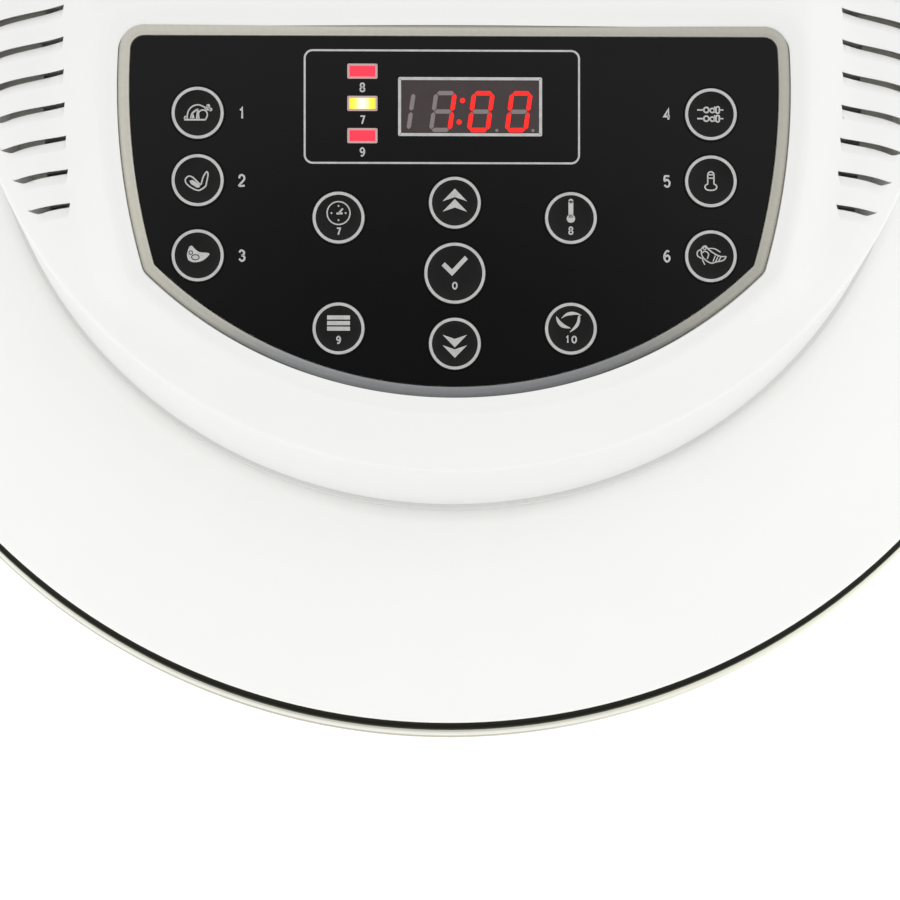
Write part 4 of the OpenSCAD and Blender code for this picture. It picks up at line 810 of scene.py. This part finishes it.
def lid_section():
    flange, rise, curve, rim = 116.0, 26.0, 200.0, 165.0
    run = rim - flange
    chord = math.hypot(run, rise)
    half, lean = math.asin(chord/2/curve), math.atan2(rise, run)
    centre = (flange - curve*math.sin(lean - half), rise - curve*math.cos(lean - half))
    top = arc(centre[0], centre[1], curve,
              90 - math.degrees(lean - half), 90 - math.degrees(lean + half), 28)
    under = [(r, z - 5) for r, z in top[6:]]
    edge = arc(rim - 2.2, -2.4, 2.2, 62, -90, 10)
    body = [(98, 21), (98, 26)] + [p for p in top if p[0] < rim - 1.4] + edge
    return (body + [(158, -5)] + [p for p in reversed(under) if p[0] < 157] + [(116, 21)])[::-1]


section = lid_section()
# The outer rim band gets the glass edge's tint with the painted dark refraction line
edge_mark = [1 if r > 163.7 and z < 1.2 else 0 for r, z in section]
lathe("lid_cover", section, "lid", [LID_WHITE, LID_EDGE_TINT_AND_PAINTED_REFRACTION], ("lid_glass",),
      steps=240, marks=edge_mark)


def bowl_section():
    top, low, top_r, foot_r, corner, wall = 198.6, 25.0, 158.0, 143.0, 26.0, 5.0
    slope = math.atan2(top_r - foot_r, top - low)
    c = (foot_r - corner*(1 - math.sin(slope))/math.cos(slope), low + corner)
    outer = [(0, low), (2, low), (60, low)] + arc(c[0], c[1], corner, -90, -math.degrees(slope), 14)
    bead = ([(top_r - 0.3, top - 16), (top_r, top - 12)] + arc(163.5, top - 5, 3, -80, 0, 7)
            + arc(163.5, top - 3, 3, 0, 90, 8)
            + arc(top_r - wall + 1.5, top - 1.5, 1.5, 90, 180, 6))
    inner = arc(c[0], c[1], corner - wall, -math.degrees(slope), -90, 12)
    return outer + bead + inner + [(60, low + wall), (2, low + wall), (0, low + wall)], len(outer)


section, n_outer = bowl_section()
bead_mark = [1 if n_outer + 6 <= i < n_outer + 16 else 0 for i in range(1, len(section))]
lathe("bowl_glass", section, "base", [CLEAR, BOWL_EDGE_TINT_AND_PAINTED_LIGHT], ("glass_bowl",), steps=200,
      marks=bead_mark, centre=np.array([0, RIM[1], 0]))

# Panel, bezel and prints

def loop_solid(name, layers, body, material, replaces=()):
    """A closed band round the panel: each layer is (distance from the black edge, height)."""
    rings = [on_panel(panel_outline(d), w) for d, w in layers]
    faces = grid_faces(len(rings), len(rings[0]), True)
    piece = place(name, np.concatenate(rings), faces, body, material, replaces, smooth=50)
    face_outward(piece.data)


loop_solid("bezel_ring", [(0.05, -2.5), (0.05, 0.30), (0.12, 0.44), (0.28, 0.5), (1.55, 0.5), (1.8, 0.44),
                          (2.35, 0.05), (2.58, -0.15), (2.6, -2.5)], "lid", SILVER_PAINTED_REFLECTION,
           ("panel_bezel",))

BUTTON_R, CONFIRM_R = 5.95, 6.95
PRESET_U, SETTING_U = 56.1, 25.4
BUTTONS = [("preset_button_%d" % (i + 1), (-PRESET_U, PRESET_U)[i//3], (26.5, 11.8, -4.6)[i % 3], BUTTON_R)
           for i in range(6)]
BUTTONS += [
    ("time_button", -SETTING_U, 3.7, BUTTON_R), ("temperature_button", SETTING_U, 3.7, BUTTON_R),
    ("delay_button", -SETTING_U, -20.5, BUTTON_R), ("reheat_button", SETTING_U, -20.5, BUTTON_R),
    ("up_button", 0.0, 7.0, BUTTON_R), ("down_button", 0.0, -23.8, BUTTON_R),
    ("confirm_button", 0.0, -8.4, CONFIRM_R),
]
TOP = 0.3     # height of a button's top above the panel


def button_cap(name, u, v, r):
    """A round cap with a rolled edge and a shallow dish inside its silver ring."""
    profile = [(0.02, -3.6), (r + 0.8, -3.6), (r + 0.8, -2.8), (r, -2.8), (r, 0.1)]
    profile += arc(r - 0.22, TOP - 0.22, 0.22, 0, 90, 5)
    profile += [(r - 1.05, TOP), (r - 1.25, TOP - 0.04), (r - 1.7, TOP - 0.10),
                (r*0.5, TOP - 0.16), (0.02, TOP - 0.18)]
    steps = 72
    faces = [face[::-1] for face in tube_faces(len(profile), steps)]
    piece = place(name + "_cap", on_panel(turned(np.array(profile), steps) + [u, v, 0]), faces, name,
                  BUTTON_BLACK, (name,), smooth=30)
    face_outward(piece.data)


FIGURES = {
    "0": [((0, .5), (-.5, .25), (-.5, -.25), (0, -.5), (.5, -.25), (.5, .25), (0, .5))],
    "1": [((-.28, .26), (.06, .5), (.06, -.5))],
    "2": [((-.46, .2), (-.34, .44), (.02, .52), (.4, .36), (.34, .04), (-.48, -.49), (.5, -.49))],
    "3": [((-.45, .3), (-.1, .5), (.38, .34), (.28, .08), (-.08, .02)),
          ((-.08, .02), (.4, -.1), (.42, -.36), (0, -.51), (-.48, -.3))],
    "4": [((.5, -.2), (-.5, -.2), (.25, .5), (.25, -.5))],
    "5": [((.42, .49), (-.36, .49), (-.42, .06), (.02, .16), (.44, -.08), (.34, -.42), (-.04, -.51),
           (-.46, -.34))],
    "6": [((.36, .42), (0, .51), (-.4, .2), (-.46, -.2), (-.06, -.51), (.4, -.36), (.42, -.08), (.06, .08),
           (-.42, -.1))],
    "7": [((-.46, .48), (.46, .48), (-.08, -.5))],
    "8": [((0, .04), (-.4, .16), (-.36, .44), (0, .52), (.36, .44), (.4, .16), (0, .04)),
          ((0, .04), (-.46, -.14), (-.4, -.44), (0, -.52), (.4, -.44), (.46, -.14), (0, .04))],
}
FIGURES["9"] = [[(-x, -y) for x, y in FIGURES["6"][0]]]
CORNERED = "147"


def number(ink, text, x, y, h, width):
    """Plain figures of even strokes, h tall, centred on (x, y)."""
    w, step = h*0.54, h*0.54 + 2.1*width
    for at, figure in enumerate(text):
        middle = x + (at - (len(text) - 1)/2)*step
        for stroke in FIGURES[figure]:
            line = stroke if figure in CORNERED else curve_through(stroke, 5)
            ink.line([(middle + px*w, y + py*h) for px, py in line], width)


def roast(ink, dark):
    back = [(-2.3, -1.3), (-2.1, .2), (-1.3, 1.3), (0, 1.75), (1.2, 1.4), (1.9, .9)]
    ink.curve(back, 0.3)
    ink.line([(-2.9, -1.5), (1.7, -1.5)], 0.36)
    ink.curve([(-2.2, -.9), (-2.7, -.8), (-2.9, -1.4)], 0.3, 5)
    ink.curve([(.3, -1.4), (.2, 0), (.9, .6), (1.8, .4), (2.1, -.5), (1.7, -1.5)], 0.3)
    ink.line([(1.6, .8), (2.3, 1.5)], 0.5)
    ink.dot(2.3, 1.5, 0.42)
    ink.dot(2.8, .75, 0.4)
    ink.line([(1.9, .7), (2.8, .75)], 0.4)
    ink.curve([(-1.5, -1.2), (-1.1, 0), (.1, .85)], 0.36, 5)
    ink.line([(.05, .85), (-.2, -1.3)], 0.36)
    ink.fill([(-1.5, -1.2), (-.7, -1.2), (-.9, -.3), (-1.2, -.2)])


def wing(ink, dark):
    ink.line(curve_through([(-2.7, .1), (-2.05, .85), (-1.1, .65), (.2, -.6), (.72, -.85), (1.2, .7),
                            (1.95, 1.85), (2.25, 1.2), (1.9, -.6), (1.7, -1.3), (.8, -2.0), (0, -2.2),
                            (-1.25, -1.7), (-2.4, -.8)], 6, True)[:-1], 0.3, True)
    ink.fill([(-1.8, -.1), (-1.1, .05), (-.3, -.45), (.55, -1.2), (.3, -1.6), (-.2, -1.6), (-1.5, -.8)])


def meat(ink, dark):
    ink.fill(curve_through([(-2.25, .6), (-1.85, 1.8), (-1.25, 2.1), (-.6, 1.4), (.4, .75), (2.2, .55),
                            (2.55, .2), (1.75, -.65), (.75, -1.25), (-.75, -1.5), (-1.9, -1.1),
                            (-2.3, -.25)], 6, True))
    dark.ring(-1.5, .6, 0.4, 0.16, 24)
    dark.line([(-.5 + .82*x, -.4 + .56*y) for x, y in circle(0, 0, 1, 28)], 0.18, True)


def skewers(ink, dark):
    for y in (0.95, -0.95):
        ink.line([(-3.0, y), (-1.6, y)], 0.34)
        ink.line([(1.95, y), (2.75, y)], 0.26)
        ink.ring(-1.0, y, 0.56, 0.34, 28)
        ink.ring(.3, y - .1, 0.46, 0.32, 24)
        ink.line([(.82, y + .75), (.82, y - .62)], 0.3)
        ink.line(rounded_box(0.72, 1.42, 0.34, 5) + [1.5, y], 0.32, True)


def outline_thermometer(ink, dark):
    stem, top = 0.68, 1.42
    ink.line(arc(0, top, stem, 0, 180, 12)
             + list(curve_through([(-stem, -.55), (-1.15, -.85), (-1.3, -1.3), (-.9, -1.8), (0, -1.95),
                                   (.9, -1.8), (1.3, -1.3), (1.15, -.85), (stem, -.55)], 5)), 0.3, True)
    for level in (1.45, .72):
        ink.line([(-stem, level), (stem, level)], 0.26)


def prawn(ink, dark):
    body = [(-2.0, 1.7), (-1.2, 2.25), (-.5, 1.5), (.9, .5), (2.2, -.05), (3.3, -.1), (2.7, -.9),
            (1.3, -1.2), (.1, -1.5), (-1.2, -.8), (-2.0, .3)]
    ink.curve(body, 0.27, closed=True)
    ink.curve([(-1.95, 1.6), (-2.9, 1.05), (-2.9, .1), (-2.0, -.5)], 0.27)
    ink.curve([(-.6, 1.7), (.8, 1.65), (2.1, .9)], 0.24)
    ink.curve([(-1.9, -.3), (-1.7, -1.1), (-1.3, -1.85)], 0.24)
    ink.curve([(-1.9, .8), (-1.2, 1.1), (-.5, .5), (-.8, -.6)], 0.26)
    ink.ring(-1.35, 1.75, 0.3, 0.2, 18)
    for x in (.75, 1.35, 1.95):
        ink.line([(x + .25, .45 - .35*x), (x - .3, -1.25 + .1*x)], 0.22)


def clock(ink, dark):
    ink.ring(0, 1.0, 2.5, 0.28)
    for x, y in circle(0, 1.0, 1.55, 4):
        ink.dot(x, y, 0.2, 12)
    ink.line([(-.45, .88), (.9, .95)], 0.42)
    ink.line([(.05, 1.0), (.95, 2.0)], 0.36)


def full_thermometer(ink, dark):
    ink.line([(0, 3.7), (0, 0)], 1.06)
    ink.dot(0, 3.7, 0.53)
    ink.dot(0, -.1, 0.92, 28)
    dark.dot(0, 3.62, 0.22)


def bars(ink, dark):
    for y in (2.4, 1.17, -.04):
        ink.fill([(-2.5, y - .45), (2.5, y - .45), (2.5, y + .45), (-2.5, y + .45)])


def swirl(ink, dark):
    """Three crescents that chase one another."""
    for rim in (((-2.1, 2.2), (-1.2, 3.25), (0, 3.7), (1.3, 3.5), (2.35, 2.9), (1.2, 3.05), (0, 2.95),
                 (-1.2, 2.7)),
                ((1.95, 2.9), (2.0, 1.6), (1.4, .3), (-.25, -.8), (.75, .55), (1.3, 1.5), (1.55, 2.6)),
                ((-3.2, 2.7), (-2.95, 1.3), (-1.9, .25), (-.05, .1), (-1.3, .85), (-2.3, 1.7))):
        ink.fill(curve_through(rim, 6, True))


def chevrons(ink, dark, way=1):
    for drop in (0, 2.28):
        ink.fill([(x, way*(y - drop)) for x, y in ((-2.7, .32), (0, 3.1), (2.7, .32), (0, 1.25))])


def tick(ink, dark):
    ink.fill([(-2.9, 1.65), (-2.2, 2.4), (-.6, .85), (2.2, 3.8), (2.85, 3.1), (-.6, -.6)])


# In the order of BUTTONS
ICONS = (roast, wing, meat, skewers, outline_thermometer, prawn, clock, full_thermometer, bars, swirl,
         chevrons, lambda ink, dark: chevrons(ink, dark, -1), tick)
NUMBERS = {"time_button": ("7", -3.0), "temperature_button": ("8", -2.75), "delay_button": ("9", -2.5),
           "reheat_button": ("10", -2.35), "confirm_button": ("0", -2.7)}
for (name, u, v, r), icon in zip(BUTTONS, ICONS):
    button_cap(name, u, v, r)
    ink = Ink(TOP - 0.02, TOP + 0.035, (u, v))
    ink.ring(0, 0, r - 0.62, 0.64, 96)
    ink.piece(name + "_ring", name)
    ink, dark = Ink(TOP - 0.2, TOP - 0.06, (u, v)), Ink(TOP - 0.08, TOP - 0.03, (u, v))
    icon(ink, dark)
    if name in NUMBERS:
        number(ink, NUMBERS[name][0], 0, NUMBERS[name][1], 1.45, 0.32)
    ink.piece(name + "_icon", name)
    if dark.verts:
        dark.piece(name + "_icon_dark", name, BUTTON_BLACK, "black_panel")

# Boxes on the panel: left, right, low, high
FRAME = (-32.8, 27.2, 15.7, 40.3)
WINDOW = (-12.4, 19.1, 21.6, 34.5)

marks_on_panel = Ink(-0.05, 0.03)
marks_on_panel.box_line(FRAME, 0.42, 0, 1.75, 8)
for name, u, v, r in BUTTONS[:6]:
    number(marks_on_panel, name[-1], u - math.copysign(9.6, u), v, 2.3, 0.42)
for text, v in (("8", 32.2), ("7", 25.1), ("9", 18.1)):
    number(marks_on_panel, text, LAMP_U, v, 1.7, 0.34)
marks_on_panel.piece("panel_marks")

# Display

face = Ink(-2.4, -0.12)
face.fill([(WINDOW[0], WINDOW[2]), (WINDOW[1], WINDOW[2]), (WINDOW[1], WINDOW[3]), (WINDOW[0], WINDOW[3])])
face.piece("display_face", "lid", DISPLAY, "display_filter", ("display_window",))
border = Ink(-0.2, 0.05)
border.box_line(WINDOW, 0.65, 0.65, 0.05, 1)
border.piece("display_border")
lit, unlit = Ink(-0.16, -0.07), Ink(-0.16, -0.08)
SLANT = math.tan(math.radians(8))
DIGIT_W, DIGIT_H, BAR, BAR_GAP = 5.0, 9.0, 0.95, 0.12


def segment(ink, x, y, which):
    """One bar of a seven-segment figure whose middle is (x, y)."""
    half_w, half_h, t = DIGIT_W/2 - BAR/2, DIGIT_H/2 - BAR/2, BAR/2
    if which in "adg":
        level = {"a": half_h, "g": 0, "d": -half_h}[which]
        near, far = half_w - BAR_GAP, half_w - t - BAR_GAP
        shape = [(-near, level), (-far, level + t), (far, level + t), (near, level),
                 (far, level - t), (-far, level - t)]
    else:
        side = half_w if which in "bc" else -half_w
        low, high = (BAR_GAP, half_h - BAR_GAP) if which in "bf" else (-half_h + BAR_GAP, -BAR_GAP)
        shape = [(side, low), (side + t, low + t), (side + t, high - t), (side, high),
                 (side - t, high - t), (side - t, low + t)]
    ink.fill([(x + px + py*SLANT, y + py) for px, py in shape])


MIDDLE_V = 27.0
for u, on, off in ((-11.6, "", "bc"), (-2.6, "bc", "adefg"), (5.7, "abcdef", "g"), (14.0, "abcdef", "g")):
    for ink, bars_of in ((lit, on), (unlit, off)):
        for bar in bars_of:
            segment(ink, u, MIDDLE_V, bar)
for u, v in ((1.7, 29.4), (0.95, 24.7)):
    lit.dot(u, v, 0.56)
for u, v in ((9.2, 22.9), (17.1, 22.9)):
    unlit.dot(u, v, 0.34)
lit.piece("segments_lit", "lid", SEGMENT_ON, "lens_red")
unlit.piece("segments_unlit", "lid", SEGMENT_OFF, "display_filter")

lamp_border = Ink(-0.1, 0.04)
for i, (v, finish) in enumerate(((35.75, LENS_RED), (28.7, LENS_YELLOW), (21.65, LENS_RED))):
    lamp_border.line(rounded_box(6.6 - 0.45, 3.3 - 0.45, 0.05, 1) + [LAMP_U, v], 0.45, True)
    lens = Ink(-1.2, -0.04)
    lens.fill(rounded_box(5.9, 2.6, 0.1, 1) + [LAMP_U, v])
    lens.piece("lens_%d" % (i + 1), "lid", finish, "lens_red", ("indicator_lenses",))
lamp_border.piece("lamp_borders", material=LAMP_BORDER)

# The other CAD pieces, with rounded edges

for node, width in (
        ("base_shell", 0.8), ("side_handles", 1.6), ("hinge_post", 1.4), ("hinge_arm", 1.4),
        ("carry_handle", 1.8), ("bottom_cover", 0.5), ("rubber_feet", 0.8), ("cord_gland", 0.5),
        ("head_base", 0.25), ("switch_plunger", 0.3), ("fan_guard", 0.15), ("convection_fan", 0.1),
        ("reflector", 0.2), ("hinge_pin", 0.5), ("handle_pins", 0.3)):
    refine(node, width)
frame["nodes"]["wire_rack"].data.shade_smooth()

# Camera, floor and light

EYE, YAW, LENS = (-7.95, -206.49, 677.0), math.radians(-0.95), 76.08
scene = bpy.context.scene
scene.view_settings.view_transform = "Standard"
camera_data = bpy.data.cameras.new("camera")
camera_data.sensor_width = 36
camera_data.lens = LENS
camera_data.clip_start = 0.01
camera = in_scene("camera", camera_data)
ahead = Vector((0, math.sin(TILT), -math.cos(TILT)))
up = Vector((0, math.cos(TILT), math.sin(TILT)))
right = math.cos(YAW)*Vector((1, 0, 0)) + math.sin(YAW)*ahead
look = math.cos(YAW)*ahead - math.sin(YAW)*Vector((1, 0, 0))
camera.matrix_world = Matrix.Translation(Vector(EYE)*MM) @ Matrix((right, up, -look)).transposed().to_4x4()
scene.camera = camera


def rays_of(tree, *kinds):
    """1 where a ray is of one of these kinds."""
    path = add(tree, "LightPath").outputs
    seen = path[kinds[0]]
    for kind in kinds[1:]:
        seen = add(tree, "Math", {0: seen, 1: path[kind]}, operation="MAXIMUM").outputs[0]
    return seen


def backdrop():
    """A pale floor that shows white to the camera and to gloss, and still takes the shadow."""
    material, tree, shader = new_material("floor")
    fit(tree, shader, {"Base Color": tone(tree, srgb(246, 246, 246), 0.004, 3)[0]}, {"Roughness": 0.9})
    seen = rays_of(tree, "Is Camera Ray", "Is Glossy Ray", "Is Transmission Ray")
    level = add(tree, "Math", {0: seen}, {1: 0.42}, operation="MULTIPLY")
    emit = add(tree, "Emission", {"Strength": level.outputs[0]}, {"Color": (1, 1, 1, 1)})
    both = add(tree, "AddShader", {0: shader.outputs[0], 1: emit.outputs[0]})
    fit(tree, tree.nodes["Material Output"], {"Surface": both.outputs[0]})
    mesh = bpy.data.meshes.new("floor")
    reach, below = 4.0, -0.0005
    corners = [(x*reach, y*reach, below) for x, y in ((-1, -1), (1, -1), (1, 1), (-1, 1))]
    mesh.from_pydata(corners, [], [(0, 1, 2, 3)])
    mesh.materials.append(material)
    in_scene("floor", mesh)


def studio():
    """Even soft light from all round, and white where the camera or a clear piece looks past the floor."""
    world = bpy.data.worlds.new("studio")
    scene.world = world
    world.use_nodes = True
    tree = world.node_tree
    # A dark patch of ceiling where the camera stands, seen only as a reflection in gloss
    spot_way = (0.0, -math.sin(math.radians(13)), math.cos(math.radians(13)))
    way = add(tree, "VectorMath", {0: add(tree, "TexCoord").outputs["Generated"]}, operation="NORMALIZE")
    spot = add(tree, "VectorMath", {0: way.outputs["Vector"]}, {1: spot_way}, operation="DOT_PRODUCT")
    fade = add(tree, "MapRange", {"Value": spot.outputs["Value"]},
               {"From Min": math.cos(math.radians(15)), "From Max": math.cos(math.radians(3)),
                "To Min": 0.83, "To Max": 0.22}, interpolation_type="SMOOTHSTEP")
    seen = rays_of(tree, "Is Camera Ray", "Is Transmission Ray")
    level = add(tree, "Mix", {"Factor": seen, "A": fade.outputs["Result"]}, {"B": 1.0})
    fit(tree, tree.nodes["Background"], {"Strength": level.outputs["Result"]},
        {"Color": (1.0, 1.0, 0.995, 1)})
    for name, stand, size, power, aim in (
            ("key", (0.5, 0.7, 1.5), 1.4, 3.0, (0, 0, 0.2)),
            ("fill", (-1.5, -0.3, 0.5), 1.0, 3.2, (0, 0, 0.22)),
            ("side", (1.5, -0.3, 0.5), 1.0, 2.2, (0, 0, 0.22)),
            ("front", (0.1, -1.6, 1.0), 1.2, 4.0, (0, 0, 0.15))):
        lamp = bpy.data.lights.new(name, "AREA")
        lamp.shape = "DISK"
        lamp.size = size
        lamp.energy = power
        light = in_scene(name, lamp)
        light.location = stand
        light.visible_glossy = False
        light.rotation_euler = (Vector(aim) - Vector(stand)).to_track_quat("-Z", "Y").to_euler()


backdrop()
studio()
